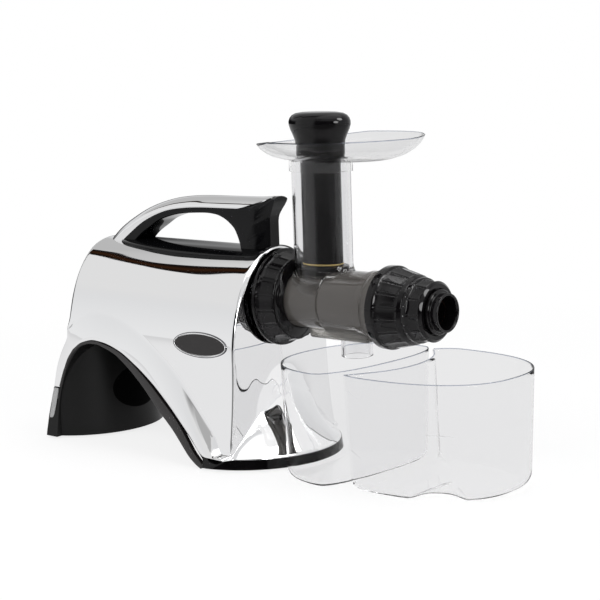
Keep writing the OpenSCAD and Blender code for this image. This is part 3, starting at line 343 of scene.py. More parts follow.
newFinish("brightSteel", (0.66, 0.67, 0.68), 0.22,
          ["foot_screws", "handle_screws", "gearbox_screws", "front_bearing", "mid_axle", "tie_bolts",
           "motor_shaft", "drive_shaft", "juicing_screen"],
          metal=1.0, grain=0.06, grainScale=1200, bump=0.05)
newFinish("castAlloy", (0.42, 0.43, 0.44), 0.5, ["gearbox_case", "gearbox_cover", "motor_brackets"],
          metal=0.9, grain=0.12, grainScale=900, bump=0.35)
newFinish("hubAlloy", (0.16, 0.16, 0.17), 0.12, ["hub_collar"], metal=1.0, roughVary=0.05)
newFinish("laminatedIron", (0.20, 0.21, 0.22), 0.5, ["motor_stack", "motor_rotor"],
          metal=0.8, grain=0.2, grainScale=1800, bump=0.3)
newFinish("copperWinding", (0.55, 0.24, 0.09), 0.35, ["motor_coils"],
          metal=0.9, grain=0.3, grainScale=2200, bump=0.5)
newFinish("sinteredBronze", (0.50, 0.34, 0.15), 0.45, ["shaft_bush", "motor_bushes"],
          metal=0.9, grain=0.15, grainScale=1500, bump=0.2)
newFinish("gearNylon", (0.70, 0.66, 0.55), 0.45, ["mid_gear", "output_gear"],
          grain=0.06, grainScale=500, bump=0.08)
newFinish("amberUltem", (0.42, 0.24, 0.06), 0.2, ["auger"], grain=0.1, grainScale=120, coat=0.2)
newFinish("boardGreen", (0.02, 0.13, 0.05), 0.4, ["control_board"], grain=0.2, grainScale=300)
newFinish("ivoryPlastic", (0.75, 0.73, 0.65), 0.4, ["run_capacitor"], grain=0.04, grainScale=300)
newClear("clearPlastic", (0.93, 0.93, 0.935), 1.30,
         cad=["feed_chute", "juice_spout", "tray", "juice_bin", "pulp_bin"])
newClear("binPlastic", (0.97, 0.97, 0.972), 1.07)
newClear("trayPlastic", (0.925, 0.925, 0.926), 1.14)
# tinted clear plastic for the rim beads: a painted reflection line, not a coloured part
newClear("paintedRimReflection", (0.50, 0.53, 0.60), 1.07)
newClear("smokyPlastic", (0.115, 0.106, 0.098), 1.45, 0.06, 0.35, ["drum"])
newClear("troughPlastic", (0.50, 0.485, 0.46), 1.42, 0.04, 0.85)
print("materials ready")


def alone(obj):
    for other in bpy.context.selected_objects:
        other.select_set(False)
    obj.select_set(True)
    bpy.context.view_layer.objects.active = obj


def bake(obj):
    alone(obj)
    for modifier in list(obj.modifiers):
        bpy.ops.object.modifier_apply(modifier=modifier.name)


def soften(obj, width, segments=3, angle=35):
    # rounds the sharp edges; sizes in mm, angle in degrees
    bevel = obj.modifiers.new("rounding", "BEVEL")
    bevel.width = width * mm
    bevel.segments = segments
    bevel.limit_method = "ANGLE"
    bevel.angle_limit = math.radians(angle)
    bevel.harden_normals = False
    bake(obj)


def thicken(obj, wall, offset):
    thick = obj.modifiers.new("wall", "SOLIDIFY")
    thick.thickness = wall * mm
    thick.offset = offset
    bake(obj)


def smooth(obj, angle=40):
    alone(obj)
    bpy.ops.object.shade_smooth_by_angle(angle=math.radians(angle))


def tidyMesh(obj, gap=0.02):
    alone(obj)
    bpy.ops.object.mode_set(mode="EDIT")
    bpy.ops.mesh.select_all(action="SELECT")
    bpy.ops.mesh.remove_doubles(threshold=gap * mm)
    bpy.ops.mesh.normals_make_consistent(inside=False)
    bpy.ops.object.mode_set(mode="OBJECT")


def join(name, pieces):
    alone(pieces[0])
    for piece in pieces:
        piece.select_set(True)
    bpy.ops.object.join()
    pieces[0].name = name
    pieces[0].data.name = name
    return pieces[0]


def mount(obj, finish, body, replaced=None):
    obj.data.materials.clear()
    obj.data.materials.append(finishes[finish])
    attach(obj, body)
    if replaced:
        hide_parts(replaced)


def finishPiece(obj, finish, body, replaced=None, edge=0.0, angle=40):
    # edge is the rounding of the sharp edges in mm
    tidyMesh(obj)
    if edge:
        soften(obj, edge, 3, 42)
    smooth(obj, angle)
    mount(obj, finish, body, replaced)


def meshPiece(name, points, faces):
    mesh = bpy.data.meshes.new(name)
    mesh.from_pydata([Vector(p) * mm for p in points], [], faces)
    obj = bpy.data.objects.new(name, mesh)
    bpy.context.collection.objects.link(obj)
    return obj


def loft(name, loops, wrap=False, closed=True):
    # a skin through rows of points; closed joins the ends of each row, wrap the last row to the first
    wide, count = len(loops[0]), len(loops)
    faces = []
    for i in range(count if wrap else count - 1):
        k = (i + 1) % count
        for j in range(wide if closed else wide - 1):
            n = (j + 1) % wide
            faces.append((i * wide + j, i * wide + n, k * wide + n, k * wide + j))
    return meshPiece(name, [p for loop in loops for p in loop], faces)


def cappedLoft(name, loops):
    # both end loops are drawn together to their middle
    def heart(loop):
        return [tuple(sum(p[k] for p in loop) / len(loop) for k in range(3))] * len(loop)
    return loft(name, [heart(loops[0])] + loops + [heart(loops[-1])])


def roundTurn(steps):
    return [2 * math.pi * i / steps for i in range(steps)]


def ovalLoop(x, a, b, z, steps=144):
    return [(x + a * math.cos(turn), b * math.sin(turn), z) for turn in roundTurn(steps)]


def between(p, q, t):
    # the place a share t of the way from p to q
    return tuple(a + (b - a) * t for a, b in zip(p, q))


def evenly(start, end, steps):
    return [start + (end - start) * i / steps for i in range(steps + 1)]


def edgeOf(inside, high, rounds):
    # how far inside(d) stays true on the way from 0 to high
    low = 0.0
    for _ in range(rounds):
        middle = (low + high) / 2
        if inside(middle):
            low = middle
        else:
            high = middle
    return low


def curveThrough(points):
    # a smooth function of its first coordinate through a few chosen points (monotone cubic)
    xs = [p[0] for p in points]
    sizes = range(1, len(points[0]))
    tangents = []
    for k in sizes:
        slopes = [(points[i + 1][k] - points[i][k]) / (xs[i + 1] - xs[i]) for i in range(len(xs) - 1)]
        row = [slopes[0]]
        for a, b in zip(slopes, slopes[1:]):
            row.append(0 if a * b <= 0 else 2 * a * b / (a + b))
        tangents.append(row + [slopes[-1]])

    def at(x):
        i = 0
        while i < len(xs) - 2 and (x - xs[i + 1]) * (xs[-1] - xs[0]) > 0:
            i += 1
        h = xs[i + 1] - xs[i]
        t = min(1, max(0, (x - xs[i]) / h))
        values = []
        for k in sizes:
            m = tangents[k - 1]
            values.append((2 * t ** 3 - 3 * t * t + 1) * points[i][k] + (t ** 3 - 2 * t * t + t) * h * m[i]
                          + (3 * t * t - 2 * t ** 3) * points[i + 1][k] + (t ** 3 - t * t) * h * m[i + 1])
        return values if len(values) > 1 else values[0]
    return at


def stationsThrough(points, count):
    # evenly counted places along a smooth line through the points
    table = curveThrough([(i,) + tuple(p) for i, p in enumerate(points)])
    return [table(place) for place in evenly(0, len(points) - 1, count)]


housing = {
    "halfWidth": 82.5, "bellCentre": 120, "crown": 242, "flare": 9.5, "footHeight": 17.5, "flarePower": 1.6,
    "length": 269, "wall": 2.0, "edgeRound": 2.4, "hubHole": 46.4,
    "stations": 68, "rows": 64, "faceSteps": 28, "skirtSteps": 18, "rearSteps": 24,
    "fineSteps": 240,
    # rounding round the front edge by height: height, how far back it starts, how far in it reaches
    "bezel": [(17.5, 0, 0), (32, 2.4, 2), (90, 2.6, 2), (168, 4.5, 2), (180, 4.5, 2.2), (190, 4.5, 3.2),
              (200, 4.5, 4.6), (211, 4.5, 7.0), (222, 4.5, 8.0), (231.6, 4.5, 4.8), (242, 4.5, 2.0)],
    "bezelSteps": 6, "bezelReach": 3,
    # the same round the rear edge
    "rearRound": [(135.5, 0), (141, 3), (150, 6), (165, 7), (242, 5)],
    # the crown is pressed down under the handle's rail: depth along the body, half width
    "dip": [(-269, 2.5), (-225, 4.6), (-14, 4.6), (0, 0)], "dipHalf": 40,
    # lower crease of the side panel: x, z
    "crease": [(0, 17.5), (-13, 17.8), (-24, 33), (-48.5, 59), (-79, 92), (-110, 118), (-140, 137),
               (-170, 150), (-200, 157), (-221, 158), (-247, 150), (-269, 135.5)],
    # lip under it at the same stations: crease x, lip x, lip z, how far it stands out
    "lip": [(0, -12, 13, 10), (-13, -27, 13, 10), (-24, -38, 13, 9.5), (-48.5, -65, 35, 8),
            (-79, -98, 64, 6.5), (-110, -127, 87, 5.5), (-140, -155, 105, 4.8), (-170, -180, 118, 4.2),
            (-200, -205, 125, 4), (-221, -222, 126.4, 3.5), (-247, -245, 121, 2.5), (-269, -260, 111.5, 1.5)],
    # rear leg below the panel's corner: height, rear edge x, lip x, lip z, how far it stands out
    "leg": [(135.5, -269, -260, 111.5, 1.5), (125.7, -269, -265.5, 105, 1.2), (116.6, -274, -270, 99, 1),
            (102.8, -282, -276, 85.5, 0.6), (85.7, -288.6, -280, 74, 0.3), (63, -293, -283.5, 63, 0)],
    "legSteps": 14, "bandSteps": 9, "bandPower": 1.7, "bandRun": 0.85, "bandRise": 0.145,
    # crease across the front: half width, height, how far forward
    "frontCrease": [(0, 85, 7.4), (15.6, 80.7, 7), (25.7, 75, 6.5), (41.7, 65.4, 5.6), (58.3, 48.4, 3.5),
                    (75.4, 32, 2.1), (92, 17.5, 0)],
    "creaseSteps": 36, "frontBow": 138, "bowPower": 2.6,
    # plan of the chrome's foot edge, and how fast the skirt runs out to it
    "footArc": 103, "footCentre": -48, "footTop": 13.3, "arcShare": 0.93, "arcHalf": 90,
    "skirtPowers": (1.5, 1.3), "skirtCorner": 0.9999,
}


def bellWidth(z):
    h = housing
    if z >= h["bellCentre"]:
        share = (z - h["bellCentre"]) / (h["crown"] - h["bellCentre"])
        return h["halfWidth"] * math.sqrt(max(0, 1 - share * share))
    share = (h["bellCentre"] - z) / (h["bellCentre"] - h["footHeight"])
    return h["halfWidth"] + h["flare"] * share ** h["flarePower"]


def bellSection(low, rows):
    # points (y, z) evenly spaced along the half section from the crown down to height low
    h = housing
    fine = [(0.0, float(h["crown"]))]
    for i in range(1, h["fineSteps"] + 1):
        a = quarter * (1 - i / h["fineSteps"])
        z = h["bellCentre"] + (h["crown"] - h["bellCentre"]) * math.sin(a)
        if z <= low:
            break
        fine.append((h["halfWidth"] * math.cos(a), z))
    z = h["bellCentre"]
    while z > low:
        fine.append((bellWidth(z), z))
        z -= 1.0
    fine.append((bellWidth(low), low))
    lengths = [0.0]
    for p, q in zip(fine, fine[1:]):
        lengths.append(lengths[-1] + math.hypot(q[0] - p[0], q[1] - p[1]))
    result = []
    k = 0
    for j in range(rows + 1):
        want = lengths[-1] * j / rows
        while k < len(fine) - 2 and lengths[k + 1] < want:
            k += 1
        t = (want - lengths[k]) / max(1e-9, lengths[k + 1] - lengths[k])
        result.append(between(fine[k], fine[k + 1], t))
    return result


def crownDip(x, y):
    share = abs(y) / housing["dipHalf"]
    return curveThrough(housing["dip"])(x) * (1 - share * share) ** 2 if share < 1 else 0.0


def bellNormal(y, z):
    h = housing
    if z <= h["bellCentre"]:
        return 1.0, 0.0
    ny, nz = y / h["halfWidth"] ** 2, (z - h["bellCentre"]) / (h["crown"] - h["bellCentre"]) ** 2
    size = math.hypot(ny, nz)
    return ny / size, nz / size


def bezelPoint(y, z, turn):
    # a point of the front edge's rounding: turn 0 lies on the side, 90 degrees on the front face
    back, inward = curveThrough(housing["bezel"])(z)
    ny, nz = bellNormal(y, z)
    sink = inward * (1 - math.cos(turn))
    return -back * (1 - math.sin(turn)), y - ny * sink, z - nz * sink


def rearPoint(y, z, turn):
    # the same at the rear edge, 90 degrees on the rear panel
    size, rear = curveThrough(housing["rearRound"])(z), -housing["length"]
    ny, nz = bellNormal(y, z)
    sink = size * (1 - math.cos(turn))
    return rear + size * (1 - math.sin(turn)), y - ny * sink, z - nz * sink - crownDip(rear, y)


def mirrored(rows):
    return [[(x, -y, z) for x, y, z in row] for row in rows]


def sidePanel():
    h = housing
    crease, bezel, rear = (curveThrough(h[key]) for key in ("crease", "bezel", "rearRound"))
    turns = [quarter * i / h["bezelSteps"] for i in range(1, h["bezelSteps"] + 1)]
    front, back = bellSection(crease(0), h["rows"]), bellSection(crease(-h["length"]), h["rows"])
    rows = [[bezelPoint(y, z, turn) for y, z in front] for turn in turns[::-1]]
    for i, x in enumerate(evenly(0, -h["length"], h["stations"])):
        first = max(0, 1 - i / h["bezelReach"])
        last = max(0, 1 - (h["stations"] - i) / h["bezelReach"])
        row = []
        for y, z in bellSection(crease(x), h["rows"]):
            place = x - (bezel(z)[0] * first - rear(z) * last)
            row.append((place, y, z - crownDip(place, y)))
        rows.append(row)
    return mirrored(rows + [[rearPoint(y, z, turn) for y, z in back] for turn in turns])


def legHeights():
    return evenly(housing["leg"][0][0], housing["leg"][-1][0], housing["legSteps"])[1:]


def flareBand():
    # from the side panel's crease out and down to the lip, then down the rear leg
    h = housing
    crease, lip, leg = (curveThrough(h[key]) for key in ("crease", "lip", "leg"))
    pairs = [(x, crease(x)) + tuple(lip(x)) for x in evenly(0, -h["length"], h["stations"])]
    for z in legHeights():
        edge, lipX, lipZ, out = leg(z)
        pairs.append((edge, z, lipX, lipZ, out))
    rows = []
    for x, z, lipX, lipZ, out in pairs:
        end = (lipX + h["bandRun"] * out, lipZ + h["bandRise"] * out)
        row = []
        for j in range(h["bandSteps"] + 1):
            t = j / h["bandSteps"]
            stand = out * (1 - (1 - t) ** h["bandPower"])
            y = bellWidth(z) + (bellWidth(lipZ) - bellWidth(z)) * t + stand
            bandX, bandZ = between((x, z), end, t)
            row.append((bandX, -y, bandZ))
        rows.append(row)
    return rows


def frontDepth(y, z):
    h = housing
    height, forward = curveThrough(h["frontCrease"])(abs(y))
    t = (h["frontBow"] - z) / (h["frontBow"] - height)
    return forward * min(1, max(0, t)) ** h["bowPower"]


def frontEdgePoints():
    # the crease across the front from the near foot to the far one
    h = housing
    crease = curveThrough(h["frontCrease"])
    points = []
    for i in range(-h["creaseSteps"], h["creaseSteps"] + 1):
        y = h["frontCrease"][-1][0] * math.sin(quarter * i / h["creaseSteps"])
        height, forward = crease(abs(y))
        points.append((forward, y, height))
    return points


def frontFace():
    # spokes from the hub's hole out to the edge of the bell and to the front crease
    h = housing
    bell = [bezelPoint(y, z, quarter) for y, z in bellSection(h["footHeight"], h["rows"])]
    near, far = [(0, -y, z) for x, y, z in bell], [(0, y, z) for x, y, z in reversed(bell[:-1])]
    rim = near + frontEdgePoints()[1:] + far
    rows = []
    for x, y, z in rim:
        long = math.hypot(y, z - axisHeight)
        row = []
        for j in range(h["faceSteps"]):
            r = h["hubHole"] + (long - h["hubHole"]) * j / h["faceSteps"]
            spokeY, spokeZ = y / long * r, axisHeight + (z - axisHeight) / long * r
            row.append((frontDepth(spokeY, spokeZ), spokeY, spokeZ))
        rows.append(row + [(x, y, z)])
    return rows


def footPoint(share):
    # plan of the chrome's lower front edge: an arc, then straight to the corner
    h = housing
    side = abs(share)

    def onArc(y):
        return h["footCentre"] + math.sqrt(h["footArc"] ** 2 - y * y)
    if side <= h["arcShare"]:
        y = side / h["arcShare"] * h["arcHalf"]
        x = onArc(y)
    else:
        corner = flareBand()[0][-1]
        t = (side - h["arcShare"]) / (1 - h["arcShare"])
        x, y = between((onArc(h["arcHalf"]), h["arcHalf"]), (corner[0], -corner[1]), t)
    return x, math.copysign(y, share)


def frontSkirt():
    h = housing
    edge = flareBand()[0]
    powerX, powerY = h["skirtPowers"]
    rows = []
    for x, y, z in frontEdgePoints():
        share = y / h["frontCrease"][-1][0]
        footX, footY = footPoint(share)
        row = []
        for j in range(h["skirtSteps"] + 1):
            t = j / h["skirtSteps"]
            if abs(share) > h["skirtCorner"]:
                # the same line as the band's first row
                k = min(h["bandSteps"] - 1, int(t * h["bandSteps"]))
                f = t * h["bandSteps"] - k
                px, py, pz = between(edge[k], edge[k + 1], f)
                row.append((px, math.copysign(py, share), pz))
            else:
                row.append((x + (footX - x) * t ** powerX, y + (footY - y) * t ** powerY,
                            z + (h["footTop"] - z) * t))
        rows.append(row)
    return rows


def rearPanel():
    # across the back between the two rear edges
    h = housing
    leg = curveThrough(h["leg"])
    edges = [rearPoint(y, z, quarter) for y, z in bellSection(h["leg"][0][0], h["rows"])]
    edges += [(leg(z)[0], bellWidth(z), z) for z in legHeights()]
    return [[(x, y * share, z) for share in evenly(-1, 1, h["rearSteps"])] for x, y, z in edges[1:]]


def makeHousing():
    near, band = sidePanel(), flareBand()
    sheets = [near, mirrored(near), band, mirrored(band), frontFace(), frontSkirt(), rearPanel()]
    skin = join("housingSkin", [loft("sheet%d" % i, rows, closed=False) for i, rows in enumerate(sheets)])
    tidyMesh(skin)
    soften(skin, housing["edgeRound"], 4, 38)
    smooth(skin, 46)
    thicken(skin, housing["wall"], -1)
    mount(skin, "chromeMirror", "housing", "housing_shell")


makeHousing()
print("housing ready")


handle = {
    "halfWidth": 17.1, "crownRadius": 21, "crownDepth": 7.6, "cornerRadius": 4.0, "edgeRound": 2.4,
    # top line of the grip: x, z
    "top": [(-266, 232), (-257, 240.5), (-241, 253.5), (-221, 265.4), (-195, 277.8), (-170, 286),
            (-146, 291.2), (-119, 294.2), (-95, 295.3), (-50, 296.1), (-20, 296.8), (-5, 297.9), (6, 299)],
    # matching places on the outside and on the finger gap: x, z, x, z; along the grip, then down the front
    "grip": [(-262, 235, -214, 235), (-241, 253.5, -200, 247), (-221, 265.4, -186, 255.5),
             (-195, 277.8, -170, 264.7), (-170, 286, -155, 269.7), (-146, 291.2, -138, 273.5),
             (-119, 294.2, -117, 275.7), (-95, 295.2, -95, 276.7), (-70, 295.7, -80, 275.7),
             (-45, 296.2, -67, 271.8), (-18, 296.9, -58, 266.5), (6, 299, -52, 261.5)],
    "front": [(6, 299, -52, 261.5), (6.6, 294.6, -50.5, 259.5), (4.2, 289, -49, 257), (0, 282, -47, 253),
              (-3.2, 275, -45.4, 249.5), (-4, 268, -44.2, 246), (-4, 254, -43, 242), (-4, 235, -42, 235)],
    "gripSteps": 88, "frontSteps": 40,
    # front end of the grip by height: z, x, half width
    "nose": [(235, -4, 7.5), (268, -4, 7.5), (275, -3.2, 7.8), (282, 0, 9), (289, 4.2, 10.6),
             (294.6, 6.6, 11.4), (300, 6.6, 11.4)],
    "shoulderX": -20,
    # how far the bright strip reaches down from the top line: x, depth
    "strip": [(-262, 21), (-224, 17.8), (-204, 15.2), (-179, 13.2), (-154, 12), (-46, 12), (-35, 10.2),
              (-24, 7.4), (-14, 5), (-6, 3), (1.5, 0.4)],
    "stripThick": 1.6, "stripProud": 0.45, "stripEnd": 1.5, "stripSteps": 110, "stripRows": 18,
    "stripRounds": 24,
    # places down a section of the grip, closer together near the top
    "depths": [0, 0.12, 0.45, 1.0, 1.8, 2.8, 4.0, 5.4, 6.6, 7.6, 8.4, 9.2, 10.1, 11.2, 12.6],
    "restSteps": 8, "cornerSteps": 4, "leastFall": 0.2, "denseShare": 0.7, "thinnest": 0.02, "spareFrom": 6,
    # rail on the crown: x, half width
    "rail": [(-240, 10), (-232, 20), (-221, 26.6), (-204, 30.9), (-187, 33.7), (-156, 37.7), (-116, 39.7),
             (-75, 39.5), (-27, 37.6), (-4.5, 35.8)],
    "railThick": 2.6, "railRound": 3.5, "railEnd": 14, "railStub": 0.5, "railSink": 1.2, "railTuck": 0.99,
    "railSteps": 80, "railAcross": 48, "railUnder": 4,
    # the rail's front end: how much further, how much narrower, how much lower
    "railTip": (0.9, 0.985, 0.6),
}


def gripTop(x):
    return curveThrough(handle["top"])(x)


def gripDepth(x, z):
    # how far a place in side view lies under the top line
    slope = gripTop(min(x + 1, 6)) - gripTop(x - 1)
    return (gripTop(x) - z) / math.hypot(1, slope / 2)


def gripHalf(x, z):
    # half width of the grip and its front post at a place in side view
    h = handle
    depth = gripDepth(x, z)
    radius, corner = h["crownRadius"], h["cornerRadius"]
    lean = math.asin(math.sqrt(2 * radius * h["crownDepth"] - h["crownDepth"] ** 2) / radius)
    cornerY = h["halfWidth"] - corner
    cornerD = h["crownDepth"] + corner * math.cos(lean)
    if depth < h["crownDepth"]:
        crown = math.sqrt(max(0, 2 * radius * depth - depth * depth))
    elif depth < cornerD:
        crown = cornerY + math.sqrt(max(0, corner ** 2 - (cornerD - depth) ** 2))
    else:
        crown = h["halfWidth"]
    noseX, noseHalf = curveThrough(h["nose"])(z)
    share = min(1, max(0, (x - h["shoulderX"]) / (noseX - h["shoulderX"])))
    return min(crown, h["halfWidth"] + (noseHalf - h["halfWidth"]) * share)


def gripSection(ox, oz, ix, iz):
    # (x, z, half width) from the outside to the finger gap, dense near the outside
    h = handle
    edge = h["edgeRound"]
    long = math.hypot(ix - ox, iz - oz)
    fall = max(h["leastFall"], abs(iz - oz) / long)
    steps = [d / fall for d in h["depths"] if d / fall < long * h["denseShare"]]
    last, restSteps, cornerSteps = steps[-1], h["restSteps"], h["cornerSteps"]
    rest = [last + (long - edge - last) * i / restSteps for i in range(1, restSteps + 1)]
    ends = [long - edge * (1 - math.sin(quarter * i / cornerSteps)) for i in range(1, cornerSteps + 1)]
    section = []
    for d in steps + rest + ends:
        x, z = between((ox, oz), (ix, iz), d / long)
        left = edge - (long - d)
        corner = edge - math.sqrt(max(0, edge ** 2 - left ** 2)) if left > 0 else 0
        section.append((x, z, max(h["thinnest"], gripHalf(x, z) - corner)))
    return section


def makeGrip():
    h = handle
    sections = [gripSection(*s) for s in stationsThrough(h["grip"], h["gripSteps"])]
    sections += [gripSection(*s) for s in stationsThrough(h["front"], h["frontSteps"])]
    wide = min(len(s) for s in sections)
    loops = []
    for section in sections:
        # the same count of points in every section
        section = section[:h["spareFrom"]] + section[h["spareFrom"] + len(section) - wide:]
        loops.append([(x, -y, z) for x, z, y in section] + [(x, y, z) for x, z, y in reversed(section)])
    obj = cappedLoft("gripBody", loops)
    tidyMesh(obj, 0.03)
    smooth(obj, 34)
    return obj


def makeStrip():
    h = handle
    depthAt = curveThrough(h["strip"])
    rows = []
    for ox, oz, ix, iz in stationsThrough(h["grip"], h["stripSteps"]):
        if ox > h["stripEnd"]:
            break
        long = math.hypot(ix - ox, iz - oz)

        def placeAt(d):
            return between((ox, oz), (ix, iz), d / long)

        def onStrip(d):
            x, z = placeAt(d)
            return gripDepth(x, z) <= depthAt(x)
        low = edgeOf(onStrip, long, h["stripRounds"])
        near = []
        for i in range(1, h["stripRows"] + 1):
            x, z = placeAt(low * (i / h["stripRows"]) ** 2)
            near.append((x, -gripHalf(x, z), z))
        rows.append(near[::-1] + [(ox, 0, oz)] + [(x, -y, z) for x, y, z in near])
    obj = loft("gripStrip", rows, closed=False)
    tidyMesh(obj, 0.01)
    # an open sheet's faces have to point away from the grip before it gets its thickness
    if sum(face.normal.z * face.area for face in obj.data.polygons) < 0:
        obj.data.flip_normals()
    smooth(obj, 60)
    thicken(obj, h["stripThick"], 2 * h["stripProud"] / h["stripThick"] - 1)
    smooth(obj, 50)
    mount(obj, "chromeMirror", "housing", "handle_cap")


def makeRail():
    h = handle
    half = curveThrough(h["rail"])
    start, end = h["rail"][0][0], h["rail"][-1][0]
    high = housing["crown"] - housing["bellCentre"]
    loops = []

    def crownAt(y):
        return housing["bellCentre"] + high * math.sqrt(max(0, 1 - (y / housing["halfWidth"]) ** 2))
    for x in evenly(start, end, h["railSteps"]):
        w = half(x)
        ends = min(1, math.sqrt(max(0, (x - start + h["railStub"]) / h["railEnd"])))
        top, under = [], []
        for j, v in enumerate(evenly(-1, 1, h["railAcross"])):
            y = w * v
            away = w * (1 - abs(v))
            rise = h["railThick"] * ends * (1 - max(0, 1 - away / h["railRound"]) ** 2) ** 0.5
            ny, nz = bellNormal(y, crownAt(y))
            top.append((x, y + ny * rise, crownAt(y) - crownDip(x, y) + nz * rise))
            if j % h["railUnder"] == 0:
                y *= h["railTuck"]
                under.append((x, y, crownAt(y) - crownDip(x, y) - h["railSink"]))
        loops.append(top + under[::-1])
    further, narrower, lower = h["railTip"]
    tip = [(end + further, y * narrower, z - lower) for x, y, z in loops[-1]]
    obj = cappedLoft("handleRail", loops + [tip])
    tidyMesh(obj, 0.03)
    smooth(obj, 40)
    return obj


def makeHandle():
    body = join("handleBody", [makeGrip(), makeRail()])
    mount(body, "handleGloss", "housing", "handle_body")
    makeStrip()


makeHandle()
print("handle ready")

trim = {
    # edge of the black trim along the side arch: outside x, z, inside x, z
    "line": [(-283.4, 64, -280, 63.5), (-277.6, 80.8, -274.6, 79.6), (-271, 96.6, -268.2, 95),
             (-261, 109.4, -259, 106.8), (-247, 119.4, -246, 116), (-228, 124.9, -227.6, 121.2),
             (-216, 125.4, -216.3, 121.4), (-201, 123, -203, 118.6), (-184, 119, -187.4, 113.6),
             (-162, 108.6, -166.8, 101.6), (-133, 89.7, -139.8, 81.4), (-104, 67, -112.6, 57.2),
             (-79, 46.6, -87, 37.2), (-49, 15.4, -56.5, 10), (-39, 8, -44.5, 3), (-33, 3.6, -37.5, 0.2)],
    "steps": 90, "sink": 0.9, "thick": 5, "corner": 1.2, "cornerShare": 0.35, "cornerMiddle": (0.3, 0.35),
}
# grey sheet on each side of the rear leg below the chrome: a painted reflection, not a real inlay
legReflection = {
    # height, rear end, front end
    "rows": [(61, -293.6, -286.6), (60.4, -294.2, -286), (50, -295.8, -287.6), (40, -297.4, -289.4),
             (30, -299, -291.6), (26, -299.4, -293), (24.4, -299.4, -295.4)],
    "columns": 8, "proud": 0.3, "thick": 1.4, "rayFrom": -200,
}
# oval sheet on the rear foot's inner wall whose near-black colour is painted shade
shadeOval = {"x": -234, "y": 0, "z": 56, "halfLength": 38, "halfHigh": 27, "proud": 0.3, "thick": 0.8,
          "rayFrom": -150, "steps": 96, "rings": (0.002, 0.25, 0.5, 0.75, 0.94, 1.0)}
badge = {"x": -50, "z": 137, "halfLength": 38.9, "halfHigh": 12.9, "y": 83.5, "steps": 120, "wireSteps": 10,
         # name, finish, how far outside the plate, wire radius, the CAD node it replaces
         "rims": [("badgeRimBright", "chromeMirror", 0, 0.55, "badge_rims"),
                  ("badgeRimDark", "hubAlloy", 0.95, 0.5, None)]}


def makeTrim():
    t = trim
    lip = curveThrough(housing["lip"])
    middle, middleDrop = t["cornerMiddle"]
    pieces = []
    for side in (-1, 1):
        loops = []
        for ox, oz, ix, iz in stationsThrough(t["line"], t["steps"]):
            share = min(t["cornerShare"], t["corner"] / math.hypot(ix - ox, iz - oz))
            stand = max(0, lip(max(ox, -housing["length"]))[2]) - t["sink"]
            outside, inside = (ox, bellWidth(oz) + stand, oz), (ix, bellWidth(iz) + stand, iz)
            loop = []
            for f, drop in ((0, 0), (1 - share, 0), (1 - share * middle, middleDrop), (1, t["corner"]),
                            (1, t["thick"]), (0, t["thick"])):
                x, y, z = between(outside, inside, f)
                loop.append((x, side * (y - drop), z))
            loops.append(loop)
        pieces.append(cappedLoft("trimSide", loops))
    finishPiece(join("archTrim", pieces), "trimSatin", "housing", angle=50)


# grey sheets that paint the pale reflection on each side of the rear leg
def makeLegReflections():
    n = legReflection
    foot = nodes["rear_foot"]
    pieces = []
    for side in (-1, 1):
        loops = []
        for z, rear, ahead in n["rows"]:
            places = evenly(rear, ahead, n["columns"])
            hits = [foot.ray_cast(Vector((x, n["rayFrom"], z)) * mm, Vector((0, 1, 0))) for x in places]
            depths = [-hit[1].y / mm if hit[0] else None for hit in hits]
            # a place past the foot's edge takes the first depth that is known
            known = [y for y in depths if y is not None]
            depths = [(known[0] if y is None else y) + n["proud"] for y in depths]
            outside = [(x, side * y, z) for x, y in zip(places, depths)]
            inside = [(x, side * (y - n["thick"]), z) for x, y in zip(places, depths)]
            loops.append(outside + inside[::-1])
        pieces.append(cappedLoft("legReflectionSide", loops))
    finishPiece(join("legReflectionPair", pieces), "paintedReflectionGrey", "housing")


def makeShadeOval():
    # near-black matte oval sheet on the inner wall of the rear foot; its colour is painted shade and dark
    # reflection
    n = shadeOval
    front, back = [], []
    for share in n["rings"]:
        out, low = [], []
        for a in roundTurn(n["steps"]):
            y = n["y"] + n["halfLength"] * share * math.cos(a)
            z = n["z"] + n["halfHigh"] * share * math.sin(a)
            start = Vector((n["rayFrom"], y, z)) * mm
            hit, place, _, _ = nodes["rear_foot"].ray_cast(start, Vector((-1, 0, 0)))
            x = place.x / mm if hit else n["x"]
            out.append((x + (n["proud"] if share < 1 else 0), y, z))
            low.append((x - n["thick"], y, z))
        front.append(out)
        back.append(low)
    obj = loft("footShadeOval", front + back[::-1])
    finishPiece(obj, "paintedShadeBlack", "housing", angle=60)


def makeRims():
    b = badge
    for name, finish, grow, size, replaced in b["rims"]:
        rings = []
        for side in (-1, 1):
            loops = []
            for a in roundTurn(b["steps"]):
                loop = []
                for c in roundTurn(b["wireSteps"]):
                    out = grow + size * math.cos(c)
                    z = b["z"] + (b["halfHigh"] + out) * math.sin(a)
                    over = min(0, bellWidth(z) - housing["halfWidth"])
                    loop.append((b["x"] + (b["halfLength"] + out) * math.cos(a),
                                 side * (b["y"] + over + size * math.sin(c)), z))
                loops.append(loop)
            rings.append(loft(name, loops, True))
        finishPiece(join(name, rings), finish, "housing", replaced, angle=60)


makeTrim()
makeLegReflections()
makeShadeOval()
makeRims()
print("trim ready")


def turned(name, outline, steps=144, shape=None):
    # (x, r) outline spun about the drive axis; shape(angle, x, r) may change the radius
    loops = []
    for x, r in outline:
        loop = []
        for a in roundTurn(steps):
            radius = shape(a, x, r) if shape else r
            loop.append((x, radius * math.sin(a), axisHeight + radius * math.cos(a)))
        loops.append(loop)
    return loft(name, loops, True)


def taper(start, end, steps, power=1):
    # (x, r) places from one to the other
    (x, r), (endX, endR) = start, end
    return [(x + (endX - x) * i / steps, r + (endR - r) * (i / steps) ** power) for i in range(steps + 1)]


band = {"ridge": 0.04, "fade": 1.2, "fadeStart": 0.25, "steps": 288}


